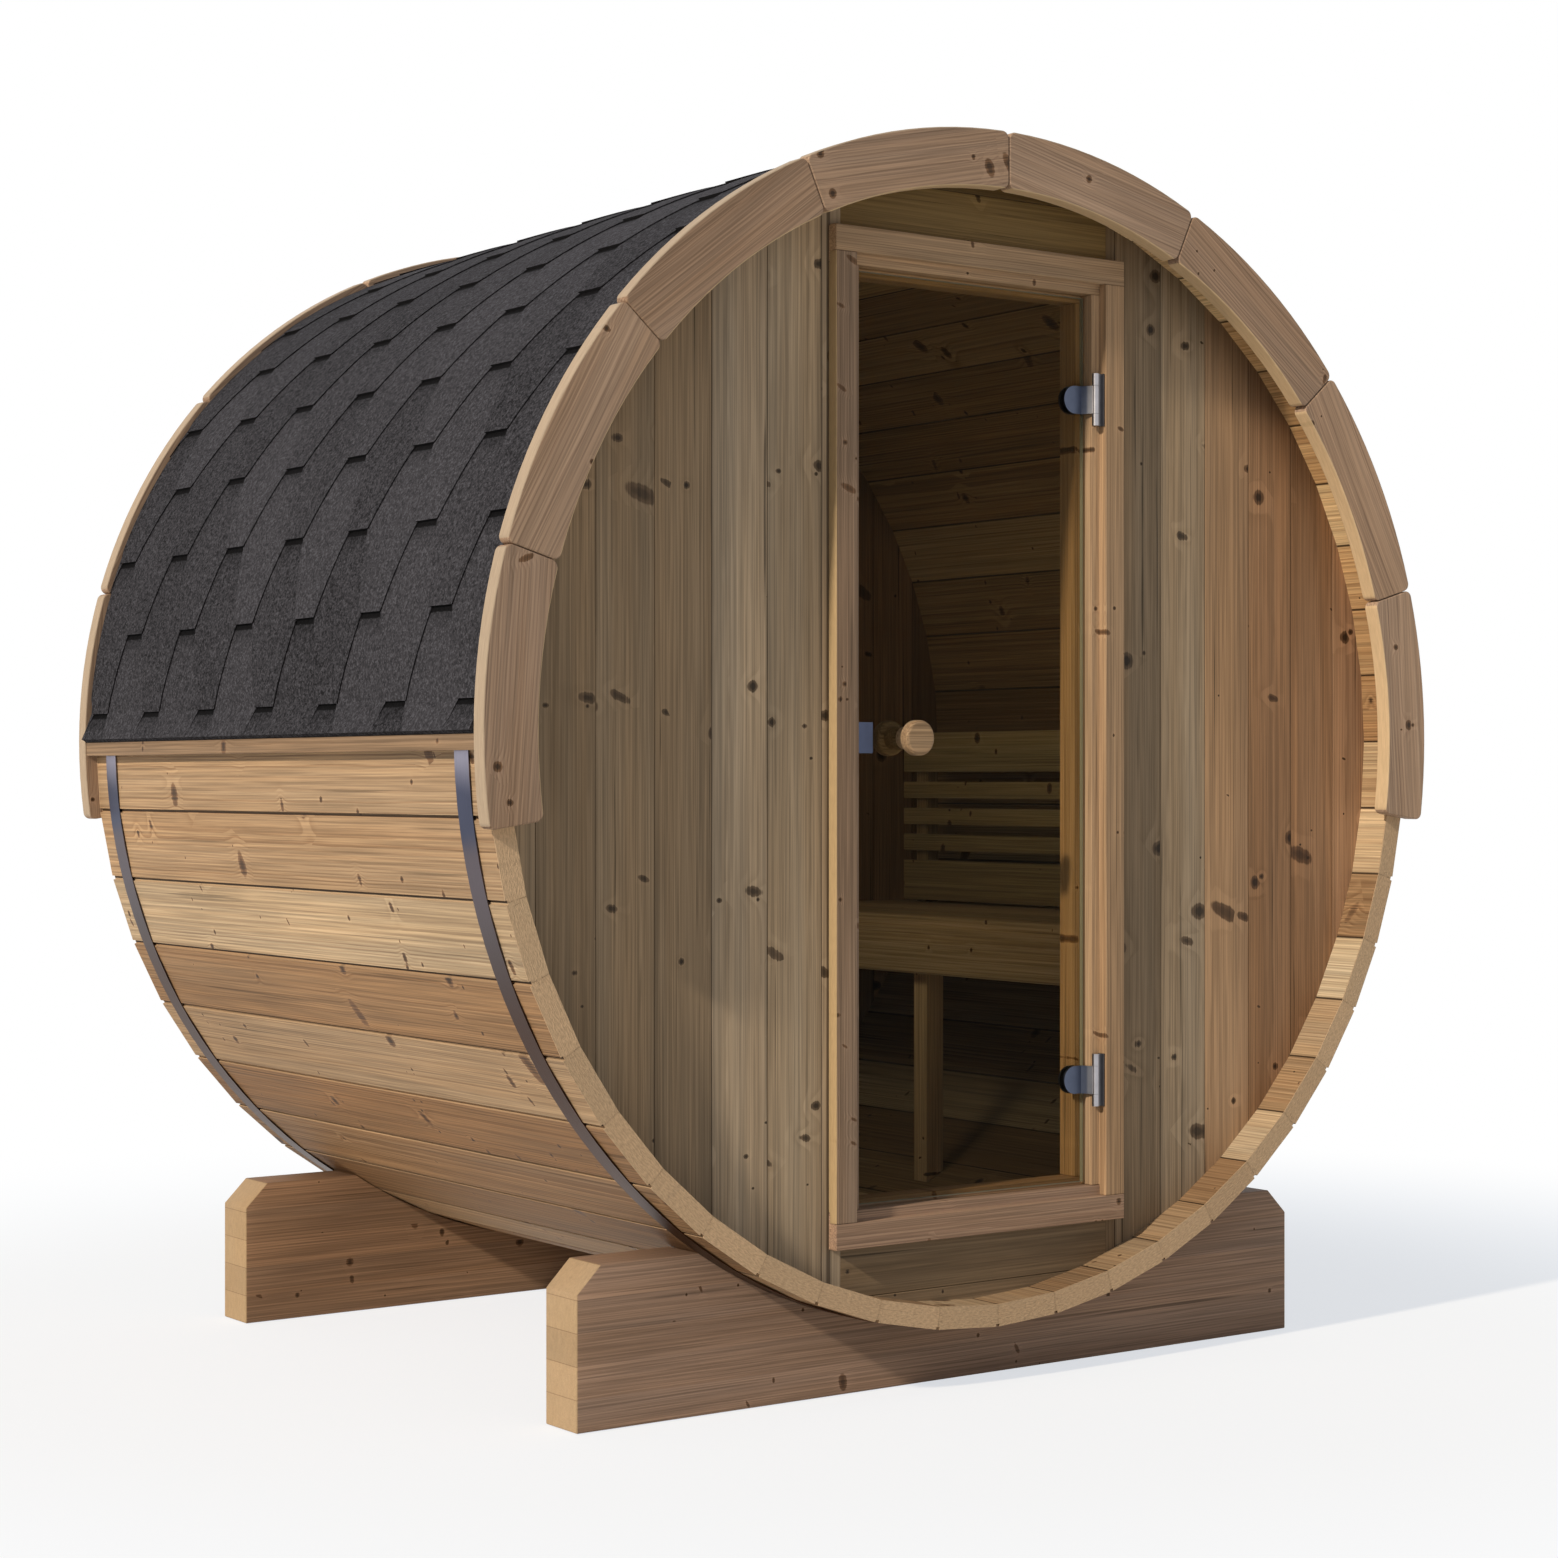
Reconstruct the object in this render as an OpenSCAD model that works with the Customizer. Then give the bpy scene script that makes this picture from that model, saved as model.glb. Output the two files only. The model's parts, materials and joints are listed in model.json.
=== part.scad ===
// Barrel sauna: coopered staves on two cradles, end walls let into a croze,
// segmented trim rings, a shingled upper half and a glass door.
// Millimetres. The origin is on the ground under the middle of the barrel,
// +Z is up and the door faces -Y.

/* [Barrel] */
// Diameter over the outer corners of the staves
barrel_d = 2000; // [1900:10:2100]
// Number of staves round the barrel
stave_count = 48; // [32:16:64]
// Thickness of a stave
stave_t = 38; // [34:1:44]
// Length of the staves
stave_l = 1465; // [1400:5:2000]
// Width of the shadow groove along each outer joint
groove_w = 8; // [4:1:12]
// Depth of the shadow groove
groove_d = 4.5; // [3:0.5:6]
// Thickness of the tongue on a stave's edge
tongue_t = 10; // [6:1:12]
// Reach of the tongue into the next stave
tongue_l = 7; // [4:1:10]
// Depth of the croze that holds an end wall
croze_d = 10; // [6:1:12]
// Clear height under the barrel
barrel_lift = 100; // [70:5:140]

/* [Cradles] */
// Length of a cradle across the barrel
cradle_l = 1560; // [1300:10:1700]
// Thickness of a cradle along the barrel
cradle_t = 93; // [60:1:120]
// Height of a cradle's ends
cradle_h = 262; // [200:2:300]
// Chamfer on the upper corners of a cradle
cradle_chamfer = 44; // [10:1:60]
// Distance from the stave ends to a cradle's outer face
cradle_inset = 96; // [80:1:300]

/* [Hoops] */
// Width of a steel hoop
hoop_w = 43; // [25:1:60]
// Thickness of a steel hoop
hoop_t = 1.5; // [1:0.1:3]
// Distance between a hoop and its cradle
hoop_gap = 2; // [1:0.5:10]

/* [Trim rings] */
// Thickness of the trim boards
trim_t = 30; // [20:1:40]
// Width of the trim boards across the ring
trim_w = 97; // [80:1:130]
// How far the trim stands out past the staves
trim_proud = 22; // [21:1:40]
// Boards in each half of a ring
trim_half_count = 4; // [3:1:6]
// Angle from the crown to a ring's lower end
trim_half_sweep = 98.4; // [92:0.2:120]
// Radius of the board corners
trim_corner_r = 13; // [6:1:20]
// Gap between neighbouring boards
trim_gap = 1.5; // [0.5:0.5:4]

/* [Roof] */
// Thickness of the roof covering
cover_t = 4; // [3:0.5:6]
// Height over which the covering leaves the staves at the eaves
eave_rise = 45; // [35:1:90]
// How far the covering's lower edge stands out past the batten
eave_kick = 8; // [4:1:12]
// Height of that edge over the batten's top
eave_lip = 5; // [3:0.5:8]
// Height of an eaves batten
batten_h = 25; // [15:1:32]
// Thickness of an eaves batten
batten_t = 19; // [14:1:20]
// Distance of a batten's top below the barrel's axis
batten_drop = 2.5; // [1:0.5:15]

/* [End walls] */
// Thickness of the end walls
wall_t = 38; // [30:1:45]
// Distance from the stave ends to the wall's outer face
wall_inset = 68; // [60:1:90]

/* [Door frame] */
// Offset of the doorway from the barrel's middle
door_offset = 11; // [-20:1:20]
// Outer width of the door frame
frame_w = 638; // [600:2:700]
// Height of the frame's underside over the lowest point inside the barrel
sill_rise = 110; // [95:1:130]
// Distance of the frame's top below the highest point inside the barrel
head_drop = 114; // [104:1:200]
// How far the frame laps over the wall round its opening
frame_lap = 25; // [10:1:35]
// Width of the frame's front face
frame_face_w = 43.5; // [35:0.5:55]
// How far the frame stands out from the wall
frame_proud = 22; // [10:1:35]
// Depth of the frame from front to back
frame_depth = 89; // [75:1:110]
// Width of the step inside the front face
step_w = 17.5; // [15:0.5:25]
// Depth of the frame's front face
step_d = 18; // [16:1:22]
// Depth from the step to the glass
rebate_d = 17; // [14:1:22]
// How far the stop reaches past the rebate
stop_w = 13; // [11:1:16]

/* [Glass door] */
// Thickness of the glass
glass_t = 8; // [6:1:10]
// Clearance round the glass, and from the stop
door_gap = 6; // [5:0.5:8]
// Diameter of the knob's head
knob_d = 60; // [50:1:70]
// Diameter of the knob's neck
knob_neck_d = 38; // [30:1:44]
// Reach of a knob from the glass
knob_reach = 46; // [38:1:52]
// Thickness of the knob's head
knob_head_t = 22; // [16:1:26]
// Distance of the knob from the glass's free edge
knob_inset = 103; // [80:1:130]
// Width of the catch plate
catch_w = 33; // [20:1:40]
// Height of the catch plate
catch_h = 52; // [40:1:70]
// Thickness of the catch plate
catch_t = 3; // [2:0.5:4]

/* [Hinges] */
// Distance of a hinge's middle from the end of the glass
hinge_inset = 181; // [120:1:260]
// Diameter of a knuckle
knuckle_d = 12.4; // [11:0.2:14]
// Height of a knuckle's three barrels together
knuckle_h = 92; // [84:1:110]
// Height of a glass clamp
clamp_h = 49; // [40:1:56]
// Width of a glass clamp's inner plate
clamp_w = 34; // [30:1:40]
// Thickness of a clamp plate
clamp_t = 4; // [3:0.5:5]
// Diameter of a hinge pin
pin_d = 6; // [5:0.5:7]
// Thickness of a hinge leaf
leaf_t = 3; // [2:0.5:4]
// Distance of the hinge pin from the frame's inner edge
pin_side = 16; // [14:1:17]
// Distance of the hinge pin in front of the frame's step
pin_front = 8; // [7.5:0.5:9]

/* [Bench] */
// Distance of the bench's front from the barrel's middle
bench_front = 385; // [320:5:450]
// Depth of the seat's top below the barrel's axis
bench_drop = 340; // [330:1:420]
// Thickness of the bench boards
bench_board_t = 28; // [20:1:35]
// Boards in the seat
seat_count = 5; // [4:1:6]
// Gap between boards of the seat and the floor
board_gap = 10; // [6:1:14]
// Height of the bench fascia
fascia_h = 113; // [95:1:140]
// Side of the square bench post
post_w = 42; // [36:1:60]
// Height of the seat bearers
bearer_h = 60; // [40:1:65]
// Thickness of the seat, floor and backrest bearers
bearer_t = 40; // [30:1:50]

/* [Backrest] */
// Distance of the backrest's front from the seat's back edge
backrest_inset = 86; // [60:1:140]
// Thickness of the backrest slats
slat_t = 20; // [15:1:26]
// Width of the top and bottom slats
slat_wide = 86; // [60:1:100]
// Width of the slats between them
slat_narrow = 36; // [30:1:50]
// Narrow slats in the backrest
slat_narrow_count = 3; // [2:1:4]
// Gap between slats
slat_gap = 21; // [12:1:26]
// Gap from the seat to the lowest slat
backrest_rise = 6; // [5:1:30]
// Depth of a backrest upright
upright_d = 30; // [24:1:34]

/* [Floor] */
// Height of the floor's top over the lowest point inside the barrel
floor_rise = 75; // [60:1:90]
// Thickness of the floor boards
floor_board_t = 24; // [18:1:28]
// Boards in the floor
floor_count = 6; // [4:1:7]

/* [Hidden] */
$fn = 360;

// Seating clearance between pieces of one body
fit = 0.3;
// Gap between neighbouring staves
stave_gap = 0.4;
// Overrun of cuts past the faces they open
over = 5;
// Groups that the ring of staves is split into
stave_groups = 8;

// Barrel
barrel_r = barrel_d / 2;
axis_z = barrel_lift + barrel_r;
pitch = 360 / stave_count;
half_pitch = pitch / 2;
group_count = stave_count / stave_groups;
face_r = barrel_r * cos(half_pitch);
inner_r = face_r - stave_t;
face_half_w = face_r * tan(half_pitch);
croze_r = inner_r + croze_d;
tongue_r0 = inner_r / cos(half_pitch) + (stave_t - tongue_t) / 2;
tongue_r1 = tongue_r0 + tongue_t;
end_y = stave_l / 2;
wall_y = end_y - wall_inset;
wall_in_y = wall_y - wall_t;

// Hoops and roof covering
hoop_r = barrel_r + fit;
hoop_y1 = end_y - cradle_inset + hoop_gap + hoop_w;
hoop_y0 = hoop_y1 - hoop_w;
cover_r0 = hoop_r + hoop_t + fit;
cover_r1 = cover_r0 + cover_t;
batten_x0 = (face_r - batten_drop * sin(half_pitch)) / cos(half_pitch) + fit;
batten_x1 = batten_x0 + batten_t;
batten_z1 = -batten_drop;
batten_z0 = batten_z1 - batten_h;

// Trim rings
trim_r1 = barrel_r + trim_proud;
trim_r0 = trim_r1 - trim_w;
trim_step = trim_half_sweep / trim_half_count;

// Door frame
frame_x0 = door_offset - frame_w / 2;
frame_x1 = door_offset + frame_w / 2;
frame_z = axis_z - inner_r + sill_rise;
frame_z1 = axis_z + inner_r - head_drop;
frame_y0 = -wall_y - frame_proud;
step_y = frame_y0 + step_d;
glass_y0 = step_y + rebate_d;
glass_y1 = glass_y0 + glass_t;
stop_y = glass_y1 + door_gap;
frame_y1 = frame_y0 + frame_depth;
rebate_w = frame_face_w + step_w;
stop_in = rebate_w + stop_w;
seat_y = -wall_y - fit;
// Outer inset, inner inset, front and back of the layers that step the frame
frame_layers = [
    [0, frame_face_w, frame_y0, step_y],
    [0, rebate_w, step_y, seat_y],
    [frame_lap, rebate_w, seat_y, stop_y],
    [frame_lap, stop_in, stop_y, frame_y1]
];
// Opening of the front wall
opening_x0 = frame_x0 + frame_lap;
opening_x1 = frame_x1 - frame_lap;
opening_z0 = frame_z + frame_lap;
opening_z1 = frame_z1 - frame_lap;

// Glass and its fittings
glass_x0 = frame_x0 + rebate_w + door_gap;
glass_x1 = frame_x1 - rebate_w - door_gap;
glass_z0 = frame_z + rebate_w + door_gap;
glass_z1 = frame_z1 - rebate_w - door_gap;
glass_mid_z = (glass_z0 + glass_z1) / 2;
hinge_heights = [glass_z0 + hinge_inset, glass_z1 - hinge_inset];
pin_x = frame_x1 - frame_face_w - pin_side;
pin_y = step_y - pin_front;
knuckle_r = knuckle_d / 2;
pin_r = pin_d / 2;
clamp_x1 = frame_x1 - stop_in - door_gap;
clamp_x0 = clamp_x1 - clamp_w;
arm_x = glass_x1 - clamp_t;
barrel_gap = 0.5;
knob_x = glass_x0 + knob_inset;
knob_edge_r = knob_head_t / 4;

// Bench, backrest and floor
seat_z1 = axis_z - bench_drop;
seat_z0 = seat_z1 - bench_board_t;
seat_x1 = inner_x(seat_z0) - fit;
bearer_z0 = seat_z0 - fit - bearer_h;
fascia_x1 = bench_front + bench_board_t;
bench_y = wall_in_y - fit;
floor_z1 = axis_z - inner_r + floor_rise;
floor_z0 = floor_z1 - floor_board_t;
floor_x = inner_x(floor_z0) - fit;
backrest_front = seat_x1 - backrest_inset;
slat_x1 = backrest_front + slat_t;
slat_z0 = seat_z1 + backrest_rise;
slat_narrow_z0 = slat_z0 + slat_wide + slat_gap;
slat_top_z0 = slat_narrow_z0 + slat_narrow_count * (slat_narrow + slat_gap);
backrest_y = bench_y - 2 * bearer_t;

wood = "burlywood";
dark_wood = "peru";
trim_wood = "rosybrown";
steel = "slategray";
shingle = "dimgray";

// Half width of the round hollow at height z
function inner_x(z) = sqrt(inner_r * inner_r - (z - axis_z) * (z - axis_z));

// Points beside the joint planes of a stave: r along the plane, d square to it
function right_edge(r, d) =
    [r * sin(half_pitch) + d * cos(half_pitch), r * cos(half_pitch) - d * sin(half_pitch)];
function left_edge(r, d) =
    [-r * sin(half_pitch) + d * cos(half_pitch), r * cos(half_pitch) + d * sin(half_pitch)];

// A flat shape in X and Z, carried along Y from y0 to y1
module along_y(y0, y1) {
    translate([0, y1, 0])
        rotate([90, 0, 0])
            linear_extrude(height = y1 - y0)
                children();
}

// A block between two corners
module block(low, high) {
    translate(low)
        cube(high - low);
}

// A copy at the other end of the barrel
module other_end() {
    mirror([0, 1, 0])
        children();
}

// A copy at the other side of the barrel
module other_side() {
    mirror([1, 0, 0])
        children();
}

// Moves a shape drawn about the barrel's axis to its height
module on_axis() {
    translate([0, 0, axis_z])
        children();
}

// Section of one stave: shadow grooves outside, tongue right, matching groove left
module stave_section() {
    rim_x = face_half_w - groove_w / 2;
    rim_r = face_r - groove_d;
    inner_corner_r = inner_r / cos(half_pitch);
    side = stave_gap / 2;
    outline = [
        [-rim_x, face_r],
        [rim_x, face_r],
        [rim_x, rim_r],
        right_edge(barrel_r - groove_d, -side),
        right_edge(tongue_r1, -side),
        right_edge(tongue_r1, tongue_l),
        right_edge(tongue_r0, tongue_l),
        right_edge(tongue_r0, -side),
        right_edge(inner_corner_r, -side),
        left_edge(inner_corner_r, side),
        left_edge(tongue_r0 - fit, side),
        left_edge(tongue_r0 - fit, tongue_l + fit),
        left_edge(tongue_r1 + fit, tongue_l + fit),
        left_edge(tongue_r1 + fit, side),
        left_edge(barrel_r - groove_d, side),
        [-rim_x, rim_r]
    ];
    mirror([0, 1])
        polygon(outline);
}

// One stave at the bottom of the barrel, with the croze cut near both ends
module stave() {
    difference() {
        along_y(-end_y, end_y)
            stave_section();
        for (low_y = [-wall_y - fit, wall_in_y - fit])
            block([-face_half_w, low_y, -croze_r],
                  [face_half_w, low_y + wall_t + 2 * fit, over - inner_r]);
    }
}

// One of the groups of neighbouring staves, counted from the bottom
module stave_group(group) {
    color(wood)
        on_axis()
            for (i = [0 : group_count - 1])
                rotate([0, -(group * group_count + i + 1 / 2 - group_count / 2) * pitch, 0])
                    stave();
}

// Cradle under the front of the barrel
module front_cradle() {
    half_l = cradle_l / 2;
    shoulder_x = half_l - cradle_chamfer;
    shoulder_z = cradle_h - cradle_chamfer;
    low_y = cradle_inset - end_y;
    color(dark_wood)
        along_y(low_y, low_y + cradle_t)
            difference() {
                polygon([
                    [-half_l, 0],
                    [half_l, 0],
                    [half_l, shoulder_z],
                    [shoulder_x, cradle_h],
                    [-shoulder_x, cradle_h],
                    [-half_l, shoulder_z]
                ]);
                translate([0, axis_z])
                    circle(r = barrel_r + fit);
            }
}

module back_cradle() {
    other_end()
        front_cradle();
}

// Flat ring between two radii
module ring(r0, r1) {
    difference() {
        circle(r = r1);
        circle(r = r0);
    }
}

// Steel hoop round the staves just outside the back cradle
module back_hoop() {
    color(steel)
        on_axis()
            along_y(hoop_y0, hoop_y1)
                ring(hoop_r, hoop_r + hoop_t);
}

module front_hoop() {
    other_end()
        back_hoop();
}

// Curved shell of the covering over the upper half
module roof_covering() {
    color(shingle)
        on_axis()
            along_y(fit - end_y, end_y - fit)
                intersection() {
                    ring(cover_r0, cover_r1);
                    translate([-cover_r1 - over, eave_rise])
                        square([2 * (cover_r1 + over), cover_r1]);
                }
}

// Lowest strip of the covering, which kicks out over the batten
module right_eaves_covering() {
    top_z = eave_rise - fit;
    low_z = batten_z1 + fit;
    color(shingle)
        on_axis()
            along_y(fit - end_y, end_y - fit)
                polygon([
                    [sqrt(cover_r0 * cover_r0 - top_z * top_z), top_z],
                    [sqrt(cover_r1 * cover_r1 - top_z * top_z), top_z],
                    [batten_x1 + eave_kick, low_z + eave_lip],
                    [batten_x1, low_z],
                    [batten_x1 - 2 * cover_t, low_z]
                ]);
}

module left_eaves_covering() {
    other_side()
        right_eaves_covering();
}

// Batten under the edge of the covering, notched over the hoops
module right_eaves_batten() {
    color(wood)
        on_axis()
            difference() {
                block([batten_x0, fit - end_y, batten_z0], [batten_x1, end_y - fit, batten_z1]);
                for (y = [-hoop_y1, hoop_y0])
                    along_y(y - fit, y + hoop_w + fit)
                        circle(r = hoop_r + hoop_t + fit);
            }
}

module left_eaves_batten() {
    other_side()
        right_eaves_batten();
}

// Cutter that rounds one corner of a trim board whose end face lies along the
// second axis; centre_r places the round and towards is 1 outside, -1 inside
module corner_cutter(centre_r, towards) {
    side = trim_gap / 2 + trim_corner_r;
    centre = [side, sqrt(centre_r * centre_r - side * side)];
    reach = trim_corner_r + over;
    difference() {
        polygon([
            centre,
            centre + towards * reach * centre / centre_r,
            [-over, centre[1] + towards * reach],
            [-over, centre[1]]
        ]);
        translate(centre)
            circle(r = trim_corner_r);
    }
}

// One board of a trim ring at the crown, with rounded corners
module trim_board() {
    half = trim_step / 2;
    apex = trim_gap / 2 / sin(half);
    span = 2 * trim_r1;
    along_y(0, trim_t)
        difference() {
            intersection() {
                ring(trim_r0, trim_r1);
                polygon([
                    [0, apex],
                    [span * sin(half), apex + span * cos(half)],
                    [-span * sin(half), apex + span * cos(half)]
                ]);
            }
            for (flip = [0, 1])
                mirror([flip, 0])
                    rotate(half) {
                        corner_cutter(trim_r1 - trim_corner_r, 1);
                        corner_cutter(trim_r0 + trim_corner_r, -1);
                    }
        }
}

// Right half of the trim ring at the back
module back_trim_right() {
    color(trim_wood)
        on_axis()
            translate([0, end_y + fit, 0])
                for (i = [0 : trim_half_count - 1])
                    rotate([0, (i + 1 / 2) * trim_step, 0])
                        trim_board();
}

module back_trim_left() {
    other_side()
        back_trim_right();
}

module front_trim_right() {
    other_end()
        back_trim_right();
}

module front_trim_left() {
    other_side()
        front_trim_right();
}

// Outline of an end wall: a many-sided disc that fills the croze
module wall_disc() {
    corner_r = (croze_r - fit) / cos(half_pitch);
    translate([0, axis_z])
        polygon([
            for (i = [0 : stave_count - 1])
                corner_r * [sin(i * pitch), cos(i * pitch)]
        ]);
}

module back_wall() {
    color(wood)
        along_y(wall_in_y, wall_y)
            wall_disc();
}

// The piece of the front wall between two corners given in X and Z
module front_wall_piece(low, high) {
    color(wood)
        along_y(-wall_y, -wall_in_y)
            intersection() {
                wall_disc();
                translate(low)
                    square(high - low);
            }
}

module front_wall_left() {
    front_wall_piece([-barrel_r, 0], [opening_x0 - fit, axis_z + barrel_r]);
}

module front_wall_right() {
    front_wall_piece([opening_x1 + fit, 0], [barrel_r, axis_z + barrel_r]);
}

module front_wall_over_door() {
    front_wall_piece([opening_x0, opening_z1 + fit], [opening_x1, axis_z + barrel_r]);
}

module front_wall_under_door() {
    front_wall_piece([opening_x0, 0], [opening_x1, opening_z0 - fit]);
}

// Sill of the door frame: it laps over the wall outside and steps towards the glass
module door_sill() {
    color(dark_wood)
        for (layer = frame_layers)
            block([frame_x0 + layer[0], layer[2], frame_z + layer[0]],
                  [frame_x1 - layer[0], layer[3], frame_z + layer[1]]);
}

module door_head() {
    color(dark_wood)
        for (layer = frame_layers)
            block([frame_x0 + layer[0], layer[2], frame_z1 - layer[1]],
                  [frame_x1 - layer[0], layer[3], frame_z1 - layer[0]]);
}

// Left post of the door frame, between the sill and the head
module door_post_left() {
    color(dark_wood)
        for (layer = frame_layers)
            block([frame_x0 + layer[0], layer[2], frame_z + layer[1] + fit],
                  [frame_x0 + layer[1], layer[3], frame_z1 - layer[1] - fit]);
}

module door_post_right() {
    translate([2 * door_offset, 0, 0])
        other_side()
            door_post_left();
}

// Leaf of one hinge on the frame, with its two end barrels and the pin
module hinge_leaf() {
    leaf_x1 = frame_x1 - frame_face_w - fit;
    half_h = knuckle_h / 2;
    mid_h = clamp_h / 2 + barrel_gap;
    end_h = half_h - mid_h;
    difference() {
        union() {
            block([leaf_x1 - leaf_t, frame_y0 + leaf_t, -half_h], [leaf_x1, step_y - fit, half_h]);
            block([pin_x, pin_y - leaf_t / 2, -half_h], [leaf_x1, pin_y + leaf_t / 2, half_h]);
            translate([pin_x, pin_y, -half_h])
                cylinder(d = knuckle_d, h = knuckle_h);
        }
        translate([pin_x, pin_y, -mid_h])
            cylinder(r = knuckle_r + barrel_gap, h = 2 * mid_h);
    }
    translate([pin_x, pin_y, -half_h + end_h / 2])
        cylinder(d = pin_d, h = knuckle_h - end_h);
}

module hinge_leaves() {
    color("dimgray")
        for (z = hinge_heights)
            translate([0, 0, z])
                hinge_leaf();
}

module door_glass() {
    color("darkslategray", 0.5)
        block([glass_x0, glass_y0, glass_z0], [glass_x1, glass_y1, glass_z1]);
}

// Plate of a glass clamp with a round free end: its right edge x1 and two depths
module clamp_plate(x1, y0, y1) {
    clamp_r = clamp_h / 2;
    along_y(y0, y1)
        intersection() {
            union() {
                translate([clamp_x0 + clamp_r, 0])
                    circle(r = clamp_r);
                translate([clamp_x0 + clamp_r, -clamp_r])
                    square([clamp_h, clamp_h]);
            }
            translate([clamp_x0, -clamp_r])
                square([x1 - clamp_x0, clamp_h]);
        }
}

// Clamp of one hinge: plates on both sides of the glass, an arm and its barrel
module hinge_clamp() {
    front_y = glass_y0 - fit;
    bore_r = pin_r + fit;
    difference() {
        union() {
            clamp_plate(arm_x, front_y - clamp_t, front_y);
            translate([0, 0, -clamp_h / 2])
                linear_extrude(height = clamp_h)
                    polygon([
                        [arm_x, front_y],
                        [arm_x - clamp_t, front_y - clamp_t],
                        [pin_x - knuckle_r, pin_y],
                        [pin_x, pin_y]
                    ]);
            translate([pin_x, pin_y, -clamp_h / 2])
                cylinder(d = knuckle_d, h = clamp_h);
        }
        translate([pin_x, pin_y, -clamp_h])
            cylinder(r = bore_r, h = 2 * clamp_h);
    }
    clamp_plate(clamp_x1, glass_y1 + fit, glass_y1 + fit + clamp_t);
}

module hinge_clamps() {
    color("lightsteelblue")
        for (z = hinge_heights)
            translate([0, 0, z])
                hinge_clamp();
}

// Half section of a mushroom knob: neck first, then the head with round edges
module knob_section() {
    neck_l = knob_reach - knob_head_t;
    head_r = knob_d / 2;
    square([knob_neck_d / 2, neck_l + knob_edge_r]);
    translate([0, neck_l]) {
        square([head_r - knob_edge_r, knob_head_t]);
        translate([0, knob_edge_r])
            square([head_r, knob_head_t - 2 * knob_edge_r]);
        for (rise = [knob_edge_r, knob_head_t - knob_edge_r])
            translate([head_r - knob_edge_r, rise])
                circle(r = knob_edge_r);
    }
}

// Knob on the outside of the glass
module outer_knob() {
    color(wood)
        translate([knob_x, glass_y0 - fit, glass_mid_z])
            rotate([90, 0, 0])
                rotate_extrude()
                    knob_section();
}

module inner_knob() {
    color(wood)
        translate([knob_x, glass_y1 + fit, glass_mid_z])
            rotate([-90, 0, 0])
                rotate_extrude()
                    knob_section();
}

// Metal plate on the free edge of the glass, where the catch holds the door
module catch_plate() {
    color(steel)
        block([glass_x0, glass_y0 - fit - catch_t, glass_mid_z - catch_h / 2],
              [glass_x0 + catch_w, glass_y0 - fit, glass_mid_z + catch_h / 2]);
}

// Seat boards along the right side, behind the fascia
module bench_seat() {
    seat_x0 = fascia_x1 + fit;
    board_w = (seat_x1 - seat_x0 - (seat_count - 1) * board_gap) / seat_count;
    color(wood)
        for (i = [0 : seat_count - 1])
            translate([seat_x0 + i * (board_w + board_gap), 0, 0])
                block([0, -bench_y, seat_z0], [board_w, bench_y, seat_z1]);
}

module bench_fascia() {
    color(wood)
        block([bench_front, -bench_y, seat_z1 - fascia_h],
              [fascia_x1, bench_y, seat_z1]);
}

// Bearers under the seat: one at each end wall and one over the post
module bench_bearers() {
    bearer_x1 = inner_x(bearer_z0) - fit;
    color(dark_wood)
        for (y = [-bench_y + bearer_t / 2, 0, bench_y - bearer_t / 2])
            block([fascia_x1 + fit, y - bearer_t / 2, bearer_z0],
                  [bearer_x1, y + bearer_t / 2, seat_z0 - fit]);
}

// Post under the middle bearer, cut to the curve of the staves
module bench_post() {
    post_x0 = fascia_x1 + fit;
    color(wood)
        along_y(-post_w / 2, post_w / 2)
            intersection() {
                translate([post_x0, 0])
                    square([post_w, bearer_z0 - fit]);
                translate([0, axis_z])
                    circle(r = inner_r - fit);
            }
}

// One slat of the backrest
module slat(z0, width) {
    block([backrest_front, -backrest_y, z0], [slat_x1, backrest_y, z0 + width]);
}

module backrest_slats() {
    color(wood) {
        slat(slat_z0, slat_wide);
        for (i = [0 : slat_narrow_count - 1])
            slat(slat_narrow_z0 + i * (slat_narrow + slat_gap), slat_narrow);
        slat(slat_top_z0, slat_wide);
    }
}

// Uprights behind the slats, standing on the seat
module backrest_uprights() {
    color(dark_wood)
        for (y = [-backrest_y + bearer_t, 0, backrest_y - bearer_t])
            block([slat_x1 + fit, y - bearer_t / 2, seat_z1 + fit],
                  [slat_x1 + fit + upright_d, y + bearer_t / 2, slat_top_z0 + slat_wide]);
}

module floor_boards() {
    board_w = (2 * floor_x - (floor_count - 1) * board_gap) / floor_count;
    color(wood)
        for (i = [0 : floor_count - 1])
            translate([i * (board_w + board_gap) - floor_x, 0, 0])
                block([0, -bench_y, floor_z0], [board_w, bench_y, floor_z1]);
}

// Bearers under the floor, rounded below to lie in the barrel
module floor_bearers() {
    color(dark_wood)
        for (y = [-bench_y + bearer_t / 2, 0, bench_y - bearer_t / 2])
            along_y(y - bearer_t / 2, y + bearer_t / 2)
                intersection() {
                    translate([0, axis_z])
                        circle(r = inner_r - fit);
                    translate([-floor_x, 0])
                        square([2 * floor_x, floor_z0 - fit]);
                }
}

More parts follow.
